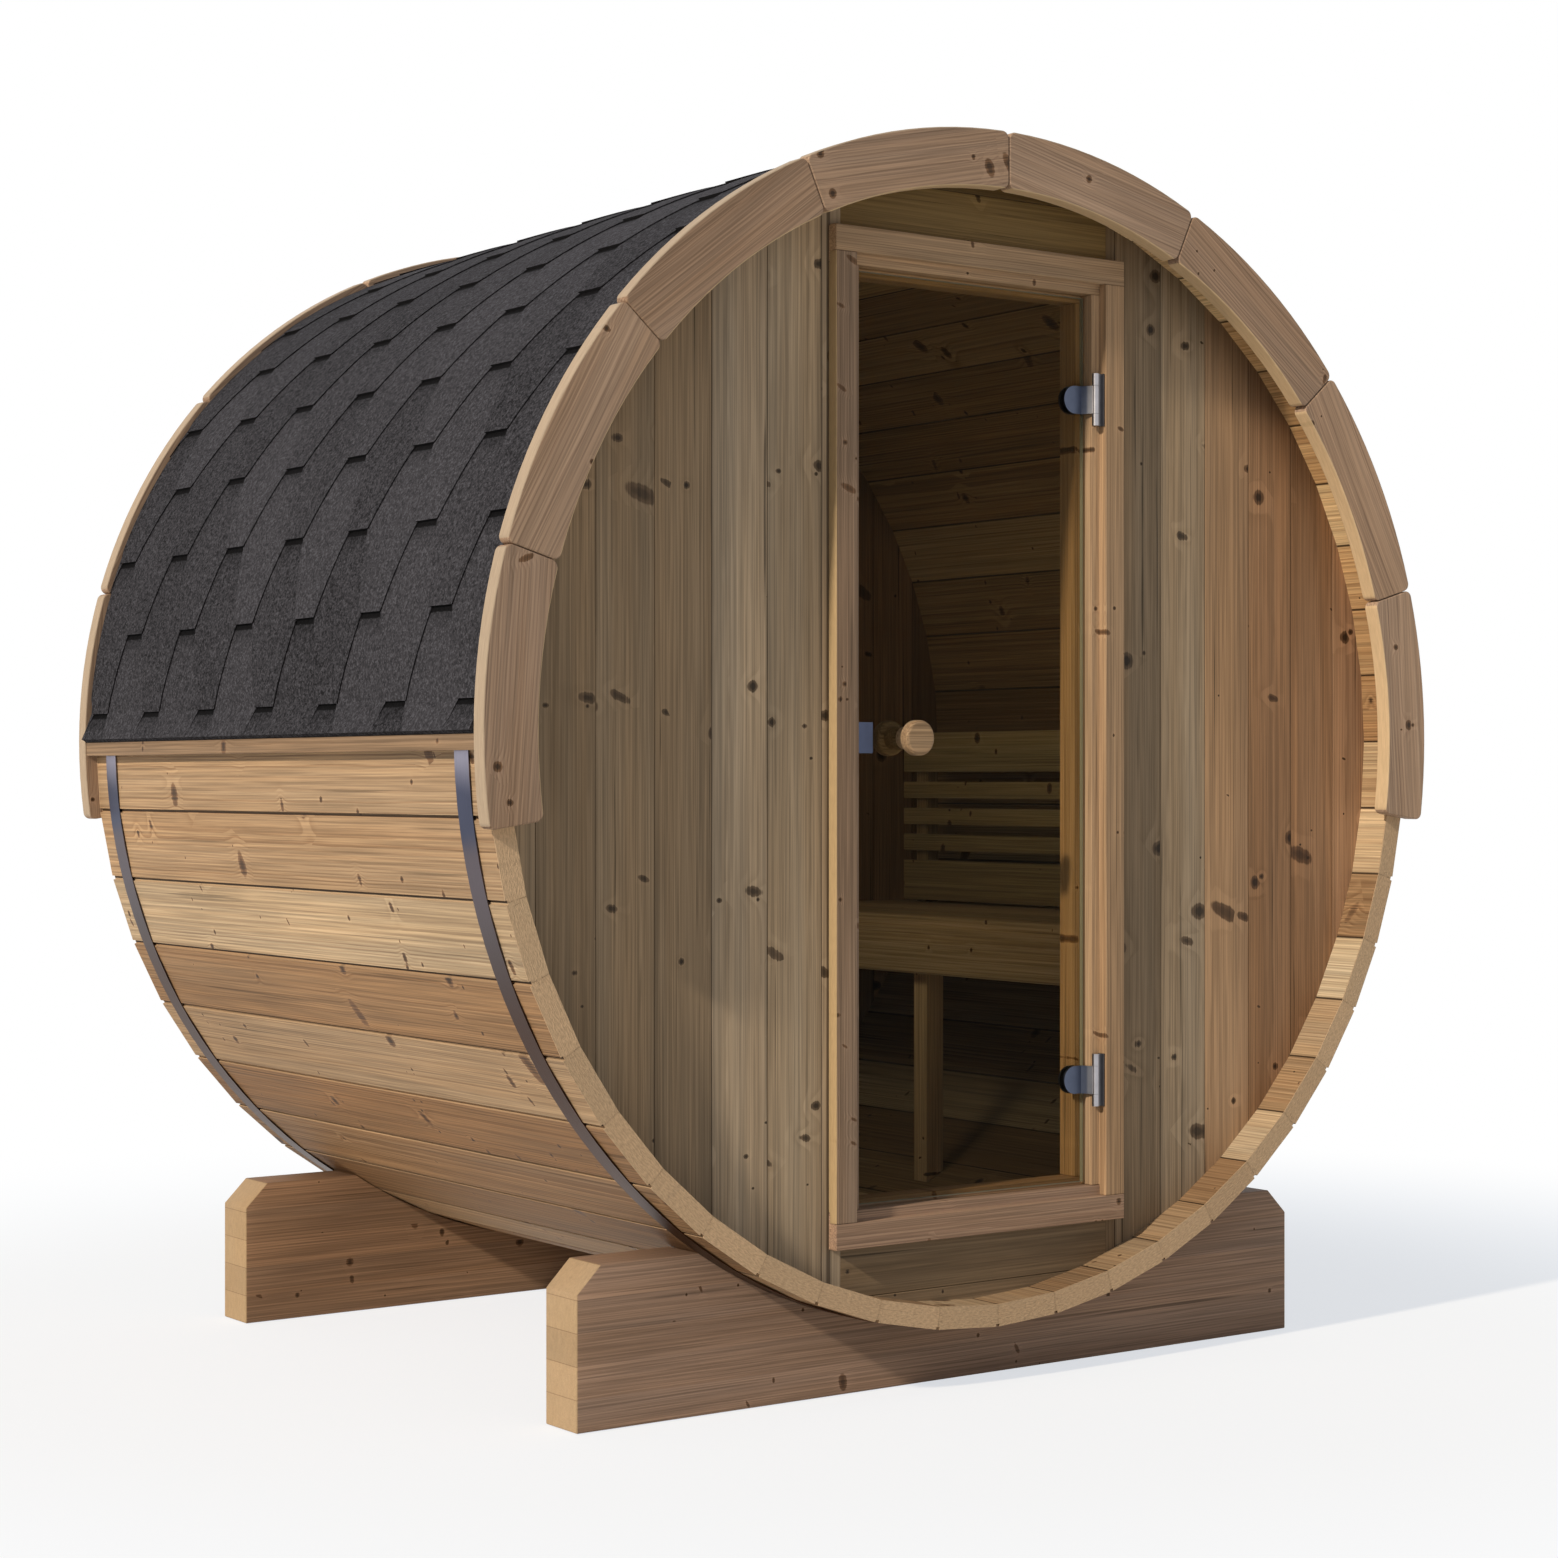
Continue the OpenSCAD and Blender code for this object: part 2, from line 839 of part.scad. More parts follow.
front_cradle();
back_cradle();
stave_group(0);  // bottom_staves
stave_group(1);  // lower_right_staves
stave_group(2);  // right_staves
stave_group(3);  // upper_right_staves
stave_group(4);  // crown_staves
stave_group(5);  // upper_left_staves
stave_group(6);  // left_staves
stave_group(7);  // lower_left_staves
front_hoop();
back_hoop();
roof_covering();
left_eaves_covering();
right_eaves_covering();
left_eaves_batten();
right_eaves_batten();
front_trim_left();
front_trim_right();
back_trim_left();
back_trim_right();
front_wall_left();
front_wall_right();
front_wall_over_door();
front_wall_under_door();
back_wall();
door_post_left();
door_post_right();
door_head();
door_sill();
hinge_leaves();
door_glass();
hinge_clamps();
outer_knob();
inner_knob();
catch_plate();
bench_seat();
bench_fascia();
bench_bearers();
bench_post();
backrest_slats();
backrest_uprights();
floor_boards();
floor_bearers();
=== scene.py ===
"""Looks of the barrel sauna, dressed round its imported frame.

Metres, in the frame's own axes: +Z up, the door towards -Y and the barrel's axis along Y.
"""

import json
import math
from dataclasses import dataclass, replace

import bmesh
import bpy
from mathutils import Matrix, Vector


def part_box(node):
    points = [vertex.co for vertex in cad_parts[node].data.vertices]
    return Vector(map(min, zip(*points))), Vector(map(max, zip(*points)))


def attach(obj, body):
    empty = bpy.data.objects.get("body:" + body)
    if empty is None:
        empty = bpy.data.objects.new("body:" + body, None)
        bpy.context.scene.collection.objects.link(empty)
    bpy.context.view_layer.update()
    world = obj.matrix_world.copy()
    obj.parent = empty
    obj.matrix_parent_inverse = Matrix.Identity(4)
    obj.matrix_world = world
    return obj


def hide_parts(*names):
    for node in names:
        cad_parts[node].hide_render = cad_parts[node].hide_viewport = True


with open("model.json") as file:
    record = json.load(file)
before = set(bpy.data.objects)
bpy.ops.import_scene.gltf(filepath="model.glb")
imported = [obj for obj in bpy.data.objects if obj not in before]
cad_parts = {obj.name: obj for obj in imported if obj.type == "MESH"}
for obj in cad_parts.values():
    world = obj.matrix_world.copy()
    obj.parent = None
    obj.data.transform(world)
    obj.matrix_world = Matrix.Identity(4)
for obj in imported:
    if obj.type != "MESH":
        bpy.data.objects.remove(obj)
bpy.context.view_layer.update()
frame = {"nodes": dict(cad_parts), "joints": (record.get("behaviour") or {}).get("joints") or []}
NODES = frame["nodes"]
BODY = "barrel"

# Barrel, read from the ring of staves
STAVE_COUNT = 48
STAVE_STEP = math.tau / STAVE_COUNT
STAVES_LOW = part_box("bottom_staves")[0]
STAVES_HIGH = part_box("crown_staves")[1]
AXIS_Z = (STAVES_LOW.z + STAVES_HIGH.z) / 2
BARREL_R = (STAVES_HIGH.z - STAVES_LOW.z) / 2
STAVE_END_Y = STAVES_HIGH.y

# Trim rings
TRIM_STEP = math.radians(24.6)
TRIM_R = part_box("front_trim_left")[1].z - AXIS_Z
TRIM_W = 0.097

# Cradles: layers glued into one beam, the chamfer at the top of its ends, and the full and faded half width
# of the lines of glue that show there
CRADLE_LAYERS = 5
CRADLE_CHAMFER = 0.044
GLUE_LINE = (0.0003, 0.0012)

# Wall boards: pitch, and where the first joint on each side of the door lies
BOARD_PITCH = 0.110
LEFT_JOINT_X = -0.322
RIGHT_JOINT_X = 0.327
WARM_BOARDS_X = RIGHT_JOINT_X + 2 * BOARD_PITCH

# Numbers that draw the boards' tones in the order the eye sees them
STAVE_SEED = 3591.0
TRIM_SEED = 61.0
LEFT_WALL_SEED = 263.0
RIGHT_WALL_SEED = 3557.0
BACK_WALL_SEED = 203.0
HEAD_SEED = 303.0
SILL_SEED = 403.0

# Lip under the eaves, and the angle from the crown at which the lowest feet of the shingles would lie
EAVES_LIP = 0.005
FIRST_FOOT_ANGLE = math.radians(103.74)

# Shingles: reach of a tab in courses and of a cap in caps, vertices of their grids, fall of a cap along its
# length, and the turn of single ones by chance
TAB_REACH = 2.2
CAP_REACH = 1.6
TAB_GRID = (12, 7)
CAP_GRID = (9, 5)
CAP_FALL = 0.7
CHANCE_TURN = 0.010

# How high the feet lie under the caps, and how far up a tab its pressed foot ends
UNDER_CAP = 0.2
FOOT_END = 0.2

# Their grains, and the shade and the black bar under a foot, in courses up the tab that they lie on
SHINGLE_GREY = (0.0405, 0.0412, 0.0508)
CUT_BLACK = (0.008, 0.008, 0.009)
FOOT_SHADE = (1.70, 1.98)
FOOT_BAR = (1.928, 1.940)

# Hoops: painted reflections of the sky and the ground on their steel, from the eaves down, and how far below
# the axis each tone gives way
HOOP_SKY_PALE = (0.35, 0.33, 0.40)
HOOP_SKY_BLUE = (0.061, 0.068, 0.113)
HOOP_SKY_GREY = (0.118, 0.096, 0.108)
HOOP_REFLECTED_GREY = (0.088, 0.069, 0.069)
HOOP_GROUND_BROWN = (0.059, 0.023, 0.010)
HOOP_SKY_PALE_FALL = (0.02, 0.10)
HOOP_SKY_BLUE_FALL = (0.145, 0.195)
HOOP_SKY_GREY_FALL = (0.20, 0.36)
HOOP_GROUND_BROWN_FALL = (0.30, 0.48)

# Hinges and catch: outer radius of the knuckles, reach of the painted highlight on the clamps round the pin,
# the painted highlights, and the metals
KNUCKLE_R = 0.0064
BRIGHT_CLAMP_R = (0.012, 0.017)
KNUCKLE_GLINT = (0.40, 0.39, 0.41)
CLAMP_GLINT = (0.30, 0.30, 0.32)
CLAMP_SATIN = (0.095, 0.112, 0.160)
CATCH_SATIN = (0.068, 0.080, 0.125)
LEAF_DARK = (0.040, 0.036, 0.036)

# Glass of the door: its face, its ground edge and the tint of what shows through
GLASS_FACE = (0.010, 0.007, 0.004)
GLASS_EDGE = (0.20, 0.22, 0.19)
GLASS_BRONZE = (0.90, 0.86, 0.75)

# Small gap that keeps a colour mask on its own face
SKIN = 0.0008

# Rounding of the sawn corners on beams and trim, on battens and the door frame, and in the room
BEAM_EASE = 0.0022
FRAME_EASE = 0.0015
INNER_EASE = 0.002

# Floor of the studio: distances over which it fades to white, and its least share of white
FLOOR_FADE = (1.3, 3.2)
FLOOR_WHITE = 0.62


class Wire:
    """An output of a node. Arithmetic on it adds Math nodes to the same tree."""

    def __init__(self, graph, socket):
        self.graph = graph
        self.socket = socket

    def other(self, output):
        """Another output of the same node."""
        return Wire(self.graph, self.socket.node.outputs[output])

    def __add__(self, value):
        return self.graph.math("ADD", self, value)

    def __radd__(self, value):
        return self.graph.math("ADD", value, self)

    def __sub__(self, value):
        return self.graph.math("SUBTRACT", self, value)

    def __rsub__(self, value):
        return self.graph.math("SUBTRACT", value, self)

    def __mul__(self, value):
        return self.graph.math("MULTIPLY", self, value)

    def __rmul__(self, value):
        return self.graph.math("MULTIPLY", value, self)

    def __truediv__(self, value):
        return self.graph.math("DIVIDE", self, value)

    def __rtruediv__(self, value):
        return self.graph.math("DIVIDE", value, self)

    def __abs__(self):
        return self.graph.math("ABSOLUTE", self)


class Graph:
    """A node tree that is written as Python expressions."""

    def __init__(self, tree):
        self.tree = tree

    def node(self, kind, settings=None, inputs=None, output=0):
        """Adds a node: its settings first, then the values or links of its sockets."""
        made = self.tree.nodes.new(kind)
        for name, value in (settings or {}).items():
            if name == "stops":
                self.set_stops(made.color_ramp, value)
            else:
                setattr(made, name, value)
        for key, value in (inputs or {}).items():
            self.feed(made.inputs[key], value)
        return Wire(self, made.outputs[output]) if made.outputs else None

    def set_stops(self, ramp, stops):
        """Colours of a ramp, spread evenly."""
        while len(ramp.elements) < len(stops):
            ramp.elements.new(0.5)
        for index, colour in enumerate(stops):
            ramp.elements[index].position = index / (len(stops) - 1)
            ramp.elements[index].color = (*colour, 1.0)

    def feed(self, socket, value):
        """Links a wire, or each wire of a list, or sets a plain value."""
        for item in value if isinstance(value, list) else [value]:
            if isinstance(item, Wire):
                self.tree.links.new(item.socket, socket)
            elif socket.type == "RGBA" and len(item) == 3:
                socket.default_value = (*item, 1.0)
            else:
                socket.default_value = item

    def math(self, operation, *values):
        return self.node("ShaderNodeMath", {"operation": operation}, dict(enumerate(values)))

    def vector(self, x, y, z):
        return self.node("ShaderNodeCombineXYZ", None, {0: x, 1: y, 2: z})

    def split(self, vector):
        x = self.node("ShaderNodeSeparateXYZ", None, {0: vector})
        return x, x.other(1), x.other(2)

    def ramp(self, value, low, high, first=0.0, last=1.0, shape="LINEAR"):
        """first below low, last above high, and between them a line or a smooth step."""
        settings = {"interpolation_type": shape}
        return self.node("ShaderNodeMapRange", settings, {0: value, 1: low, 2: high, 3: first, 4: last})

    def step(self, value, low, high):
        return self.ramp(value, low, high, shape="SMOOTHSTEP")

    def fade(self, value, low, high):
        """1 below low and 0 above high."""
        return 1 - self.step(value, low, high)

    def random(self, seed):
        """A number from 0 to 1 that belongs to the seed."""
        return self.node("ShaderNodeTexWhiteNoise", {"noise_dimensions": "1D"}, {"W": seed})

    def length(self, a, b):
        return self.math("SQRT", a * a + b * b)


class Finish(Graph):
    """One material, worked out from the object's own coordinates."""

    def __init__(self, name):
        self.material = bpy.data.materials.new(name)
        self.material.use_nodes = True
        super().__init__(self.material.node_tree)
        self.tree.nodes.clear()
        self.place = self.node("ShaderNodeTexCoord", output="Object")
        self.x, self.y, self.z = self.split(self.place)

    def noise(self, vector, scale=1.0, detail=2.0):
        return self.node("ShaderNodeTexNoise", None, {"Vector": vector, "Scale": scale, "Detail": detail})

    def mix(self, factor, a, b, blend="MIX"):
        settings = {"data_type": "RGBA", "blend_type": blend}
        return self.node("ShaderNodeMix", settings, {0: factor, 6: a, 7: b}, output=2)

    def cast(self, colour, tint):
        """A colour under a tint."""
        return self.mix(1.0, colour, tint, "MULTIPLY")

    def scale(self, colour, value):
        return self.node("ShaderNodeVectorMath", {"operation": "SCALE"}, {0: colour, "Scale": value})

    def surface(self, colour, rough, height=None, relief=0.0004, **plain):
        """Ends the material in a Principled shader. relief is the height of the bumps in metres."""
        inputs = {"Base Color": colour, "Roughness": rough}
        inputs.update({name.replace("_", " "): value for name, value in plain.items()})
        if height is not None:
            settings = {"Height": height, "Distance": relief, "Strength": 1.0}
            inputs["Normal"] = self.node("ShaderNodeBump", None, settings)
        self.output(self.node("ShaderNodeBsdfPrincipled", None, inputs))
        return self.material

    def output(self, shader):
        self.node("ShaderNodeOutputMaterial", None, {"Surface": shader})


@dataclass
class Timber:
    """Colours and growth of one kind of board, in metres and in shares from 0 to 1. early and late are the
    pale and the dark wood of a ring, tints the tones of single boards, waver and bend the rings' ragged edge
    and their push by a knot, in rings, and glow the paler wood round a knot."""

    early: tuple
    late: tuple
    tints: tuple = ((0.80, 0.77, 0.74), (0.95, 0.94, 0.93), (1.05, 1.05, 1.05), (1.2, 1.2, 1.18))
    ring: float = 0.0036
    contrast: float = 0.55
    waver: float = 0.8
    bend: float = 1.3
    lines: float = 0.30
    streak: float = 0.4
    mottle: float = 0.30
    knot_share: float = 0.55
    knot_r: float = 0.012
    knot_cell: float = 0.065
    pin_share: float = 0.12
    glow: float = 0.10
    halo: tuple = (0.150, 0.082, 0.044)
    heart: tuple = (0.036, 0.020, 0.011)
    shine: float = 0.14


STAVE_TINTS = ((0.54, 0.42, 0.33), (0.76, 0.66, 0.57), (0.97, 0.95, 0.93), (1.10, 1.17, 1.22))
WALL_TINTS = ((0.60, 0.56, 0.50), (0.86, 0.84, 0.81), (1.06, 1.07, 1.06), (1.40, 1.46, 1.56))
EVEN_TINTS = ((0.90, 0.89, 0.88), (0.97, 0.97, 0.97), (1.02, 1.02, 1.02), (1.09, 1.09, 1.08))
STAVE_TIMBER = Timber((0.425, 0.312, 0.206), (0.200, 0.115, 0.064), STAVE_TINTS, contrast=0.62, waver=0.4,
                      lines=0.34, knot_r=0.016, knot_cell=0.085)
BATTEN_TIMBER = Timber((0.268, 0.188, 0.126), (0.168, 0.108, 0.067))
TRIM_TIMBER = Timber((0.365, 0.256, 0.186), (0.222, 0.139, 0.096), EVEN_TINTS, ring=0.0055, waver=1.1,
                     lines=0.16, streak=0.3, knot_r=0.010, pin_share=0.04)
WALL_TIMBER = Timber((0.37, 0.268, 0.178), (0.200, 0.137, 0.083), WALL_TINTS, ring=0.0030, contrast=0.39,
                     waver=0.5, lines=0.20, streak=0.65, mottle=0.42, knot_r=0.015, knot_cell=0.085,
                     pin_share=0.05, halo=(0.112, 0.072, 0.044), heart=(0.018, 0.012, 0.008))
FRAME_TIMBER = Timber((0.365, 0.250, 0.158), (0.220, 0.135, 0.081), ring=0.0028, knot_r=0.008,
                      knot_cell=0.045)
SHADED_FRAME = replace(FRAME_TIMBER, early=(0.328, 0.240, 0.178), late=(0.198, 0.129, 0.091))
SILL_TIMBER = replace(FRAME_TIMBER, early=(0.298, 0.202, 0.146), late=(0.180, 0.108, 0.075))
CRADLE_TIMBER = Timber((0.288, 0.196, 0.147), (0.175, 0.112, 0.081), EVEN_TINTS, ring=0.0044, contrast=0.36,
                       waver=1.2, mottle=0.42, knot_share=0.35, knot_r=0.010, halo=(0.115, 0.062, 0.035))
SHADED_CRADLE = replace(CRADLE_TIMBER, early=(0.27, 0.170, 0.111), late=(0.162, 0.096, 0.060))
INNER_TIMBER = Timber((0.45, 0.335, 0.210), (0.30, 0.205, 0.115), contrast=0.5, knot_r=0.010)
# Lighter copies for the bench's fascia and post: painted light that stands in for the daylight through the
# door
FASCIA_PAINTED_LIGHT = replace(INNER_TIMBER, early=(0.58, 0.435, 0.295), late=(0.40, 0.28, 0.165))
SLAT_TIMBER = replace(INNER_TIMBER, early=(0.375, 0.290, 0.165), late=(0.245, 0.175, 0.088))
POST_PAINTED_LIGHT = replace(INNER_TIMBER, early=(0.70, 0.535, 0.39), late=(0.50, 0.36, 0.225))
KNOB_TIMBER = Timber((0.35, 0.245, 0.155), (0.165, 0.100, 0.056), ring=0.0040, contrast=0.8, knot_share=0.0,
                     pin_share=0.0, streak=0.1)
DUSKY_KNOB = replace(KNOB_TIMBER, early=(0.20, 0.155, 0.125), late=(0.105, 0.072, 0.055))

# Sawn ends, the left door post's side with painted sunlight, planed rims, and the dirt and painted shade in
# the joints
END_GRAIN = (0.58, 0.42, 0.275)
CRADLE_END = (0.42, 0.31, 0.185)
POST_SIDE_SUN = (0.46, 0.335, 0.185)
TRIM_RIM = (0.40, 0.325, 0.25)
TRIM_BORE = (0.60, 0.45, 0.28)
# Dark of the joints: dirt in the wall joints, painted shade in the stave grooves and the gap by the door post
JOINT_DIRT_AND_SHADE = (0.030, 0.016, 0.008)

# Casts over the wall boards: grey, faded, warm from the boards' own tone and painted sunlight, painted shade
# of the trim, and towards the far rim
GREY_CAST = (0.95, 1.00, 1.05)
FADED_CAST = (0.85, 0.90, 0.96)
WARM_CAST = (1.07, 0.95, 0.87)
PAINTED_SHADE_CAST = (0.62, 0.58, 0.38)
RUDDY_CAST = (0.90, 0.82, 0.78)
RUDDY_X = (0.60, 0.70)

# Casts over the zones of a board, and over the inner faces of the staves low down and high up, where the high
# one is painted sunlight
COOL_ZONE = (0.97, 1.00, 1.03)
WARM_ZONE = (1.03, 1.00, 0.95)
LOW_INNER_CAST = (1.00, 1.06, 1.10)
HIGH_INNER_SUN_CAST = (1.60, 1.62, 1.42)

# Knots lie in rows where a whorl of branches left the stem: the rows' distance along a board, their half
# width as a share of it, and the share of knots that lie between them
WHORL_GAP = 0.36
WHORL_HALF_SHARE = 0.11
LONE_SHARE = 0.10

# The longest knots, cut lengthwise, and the small ones of twigs
SPIKE_STRETCH = 3.2
PIN_CELL = 0.026
PIN_R = 0.0055

# The least knot as a share of the largest, the least turn and the spread of turns in radians, the raggedness,
# and in radii of the knot: its edge, the edge of its heart and its pull on the grain
LEAST_KNOT = 0.35
LEAST_TURN = 0.9
TURN_SPREAD = 1.2
RAGGED = 0.8
KNOT_EDGE = (0.85, 1.10)
HEART_EDGE = (0.30, 0.80)
PULL_REACH = 2.2


def knots(f, along, across, shift, edge, cell, share, largest):
    """Knots of one size over a board: how far each point is inside one, in its dark heart and in its pull
    on the grain."""
    place = f.vector(along / cell, across / cell + shift * 20, 0.0)
    spot = f.node("ShaderNodeTexVoronoi", {"voronoi_dimensions": "2D"}, {"Vector": place, "Scale": 1.0})
    luck, size, slant = f.split(spot.other("Color"))
    centre = spot.other("Position")
    beat = f.math("FRACT", f.split(centre)[0] * (cell / WHORL_GAP))
    in_row = f.math("LESS_THAN", abs(beat - 0.5), WHORL_HALF_SHARE)
    present = f.math("LESS_THAN", luck, (in_row * (1 - LONE_SHARE) + LONE_SHARE) * share)
    gap = f.node("ShaderNodeVectorMath", {"operation": "SUBTRACT"}, {0: place, 1: centre})
    u, v = (part * cell for part in f.split(gap)[:2])
    turn = slant * TURN_SPREAD + LEAST_TURN
    cos, sin = f.math("COSINE", turn), f.math("SINE", turn)
    long = slant * slant * slant
    stretch = long * (SPIKE_STRETCH - 1.0) + 1.0
    near = f.length((u * cos + v * sin) / stretch, v * cos - u * sin) + (edge - 0.5) * (largest * RAGGED)
    radius = (size * size * (1 - LEAST_KNOT) + LEAST_KNOT) * largest
    inside = f.fade(near, radius * KNOT_EDGE[0], radius * KNOT_EDGE[1]) * present
    middle = f.fade(near, radius * HEART_EDGE[0], radius * HEART_EDGE[1]) * present * (1 - long * 0.7)
    reach = near / (radius * PULL_REACH)
    pull = f.math("EXPONENT", reach * reach * -1.0) * present
    return inside, middle, pull


# Waves of the grain per metre, along and across: broad bends, zones of tone, ragged rings, fibres, fine lines
# and dark bands
BEND_WAVES = (0.9, 2.0)
ZONE_WAVES = (0.7, 17.0)
RAGGED_WAVES = (9.0, 60.0)
FIBRE_WAVES = (4.0, 380.0)
LINE_WAVES = (1.6, 260.0)
BAND_WAVES = (1.5, 120.0)

# How sharply a noise parts dark from light, and the peak of one that makes a dark streak
SHARP = (0.3, 0.7)
EVEN = (0.25, 0.75)
SOFT = (0.2, 0.8)
STREAK = (0.64, 0.72)

# Growth rings: the pith's reach to the side and behind the face, the swing of the rings along a board, the
# strength of the faintest ring, and where in a ring the late wood rises and ends
PITH_SIDE = 0.17
PITH_NEAR = 0.02
PITH_DEEP = 0.11
RING_SWING = 0.035
FAINT_RING = 0.25
LATE_RISE = (0.15, 0.86)
LATE_END = (0.87, 1.0)

# How much the fibres lighten and darken the wood, and the knots
FIBRE_SPAN = 0.42
KNOT_FIBRE_SPAN = 0.9


def wood(f, along, across, depth, board, timber):
    """Colour, roughness and height of solid wood. along follows the grain, across and depth cut it,
    and board is a number of its own for each board."""
    shift, lean, tilt, tone, figure = (f.random(board + draw) for draw in (0.13, 0.37, 0.59, 0.83, 0.94))
    along = along + shift * 50

    def waves(rates, detail=2.0):
        lengthwise, crosswise = rates
        return f.noise(f.vector(along * lengthwise, across * crosswise, depth * crosswise), detail=detail)

    def vary(noise, bounds, span):
        """A factor that swings about 1."""
        return f.step(noise, *bounds) * span + (1.0 - span / 2)

    wander = waves(BEND_WAVES)
    zone = waves(ZONE_WAVES)
    fine = waves(RAGGED_WAVES)
    fibre = waves(FIBRE_WAVES)
    line = waves(LINE_WAVES, 3.0)
    band = waves(BAND_WAVES, 3.0)
    edge = fine * 0.55 + fibre * 0.45
    big = knots(f, along, across, shift, edge, timber.knot_cell, timber.knot_share, timber.knot_r)
    pin = knots(f, along, across, shift, edge, PIN_CELL, timber.pin_share, PIN_R)
    inside, middle, pull = (f.math("MAXIMUM", a, b) for a, b in zip(big, pin))

    ring_x = across + (lean - 0.5) * PITH_SIDE + (wander - 0.5) * figure * RING_SWING
    ring_y = depth + tilt * PITH_DEEP + PITH_NEAR
    growth = f.length(ring_x, ring_y) / timber.ring + big[2] * timber.bend + fine * timber.waver
    saw = f.math("FRACT", growth)
    strength = f.random(f.math("FLOOR", growth) + board) * (1 - FAINT_RING) + FAINT_RING
    late = (f.step(saw, *LATE_RISE) - f.step(saw, *LATE_END)) * strength

    colour = f.mix(late * timber.contrast, timber.early, timber.late)
    colour = f.scale(colour, vary(fibre, SHARP, FIBRE_SPAN))
    colour = f.scale(colour, vary(line, EVEN, timber.lines))
    colour = f.cast(colour, f.node("ShaderNodeValToRGB", {"stops": timber.tints}, {0: tone}))
    colour = f.cast(colour, f.mix(f.step(zone, *SHARP), COOL_ZONE, WARM_ZONE))
    colour = f.scale(colour, vary(wander, SOFT, timber.mottle))
    colour = f.scale(colour, 1 - f.step(band, *STREAK) * timber.streak)
    colour = f.scale(colour, pull * timber.glow + 1.0)
    knot = f.scale(f.mix(middle, timber.halo, timber.heart), vary(fibre, SHARP, KNOT_FIBRE_SPAN))
    colour = f.mix(inside * 0.95, colour, knot)
    rough = fibre * 0.2 + 0.5 - inside * 0.1
    return colour, rough, fibre * 0.6


# Staves: the depth at which the inner face starts, the heights from the axis over which it turns yellower and
# brighter with painted sunlight, how much painted shade darkens it in the room, and how far behind the face
# of the front wall that starts
INNER_FACE = (0.030, 0.036)
YELLOW_RISE = (-0.6, 0.7)
ROOM_SHADE_DARKENING = 0.16
ROOM_EDGE = 0.01

# Their joints: least width of the dark seam and its spread, the depths of the groove's lip and floor, between
# which painted shade lies on its wall away from the light, and the distances from the joint between which the
# eased edge above it gets a painted highlight
SEAM_W = 0.0006
SEAM_SPREAD = 0.0018
GROOVE_LIP = (0.0016, 0.0036)
GROOVE_FLOOR = (0.007, 0.012)
HIGHLIGHT_FROM = (0.0018, 0.0024)
HIGHLIGHT_TO = (0.0036, 0.0046)


def stave_finish():
    """Staves: one board to each step round the axis, dark in the joints with painted shade in the groove and
    a painted highlight on the eased edge above each, rough on the sawn ends, and inside yellower and brighter
    high up with painted sunlight and darker in the room with painted shade."""
    f = Finish("stave_wood")
    drop = AXIS_Z - f.z
    turn = f.math("ARCTAN2", f.x, drop)
    number = f.math("FLOOR", turn / STAVE_STEP)
    board = number + STAVE_SEED
    off = turn - (number + 0.5) * STAVE_STEP
    radius = f.length(f.x, drop)
    across = radius * f.math("SINE", off)
    depth = BARREL_R - radius * f.math("COSINE", off)
    from_middle = abs(f.y)
    colour, rough, height = wood(f, f.y, across, depth, board, STAVE_TIMBER)
    inside = f.step(depth, *INNER_FACE)
    # Painted sunlight makes the inner faces yellower and brighter high up, and painted shade darkens them in
    # the room
    high = f.step(f.z, AXIS_Z + YELLOW_RISE[0], AXIS_Z + YELLOW_RISE[1])
    wall_y = -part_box("front_wall_left")[0].y
    room = f.fade(from_middle, wall_y - ROOM_EDGE, wall_y)
    inner_painted_light = f.scale(f.mix(high, LOW_INNER_CAST, HIGH_INNER_SUN_CAST), 1 - room * ROOM_SHADE_DARKENING)
    colour = f.mix(inside, colour, f.cast(colour, inner_painted_light))
    end = f.step(from_middle, STAVE_END_Y - 2 * SKIN, STAVE_END_Y - SKIN)
    sawn = f.noise(f.vector(across * 130, depth * 420, board), detail=4.0)
    shade = (f.step(sawn, *EVEN) * 0.36 + 0.80) * (f.random(board + 0.71) * 0.22 + 0.89)
    colour = f.mix(end * 0.82, colour, f.scale(END_GRAIN, shade))
    from_joint = (STAVE_STEP / 2 - abs(off)) * radius
    open_w = f.noise(f.vector(f.y * 11, number, 0.0)) * SEAM_SPREAD + SEAM_W + inside * SEAM_W
    seam = f.fade(from_joint, open_w * 0.6, open_w + SEAM_W) * (1 - end * 0.88)
    # Painted light at the joints: shade on the groove wall away from the light, a highlight on the lit eased
    # edge
    lit = f.math("GREATER_THAN", off * f.x, 0.0) * (1 - inside) * (1 - end)
    groove = f.step(depth, *GROOVE_LIP) * f.fade(depth, *GROOVE_FLOOR) * (1 - end) * (1 - lit)
    colour = f.mix(f.math("MAXIMUM", seam * 0.9, groove * 0.60), colour, JOINT_DIRT_AND_SHADE)
    eased = lit * f.step(from_joint, *HIGHLIGHT_FROM) * f.fade(from_joint, *HIGHLIGHT_TO)
    colour = f.mix(eased * 0.5, colour, END_GRAIN)
    height = height + end * sawn * 3.0
    return f.surface(colour, rough + end * 0.2, height, Specular_IOR_Level=STAVE_TIMBER.shine)


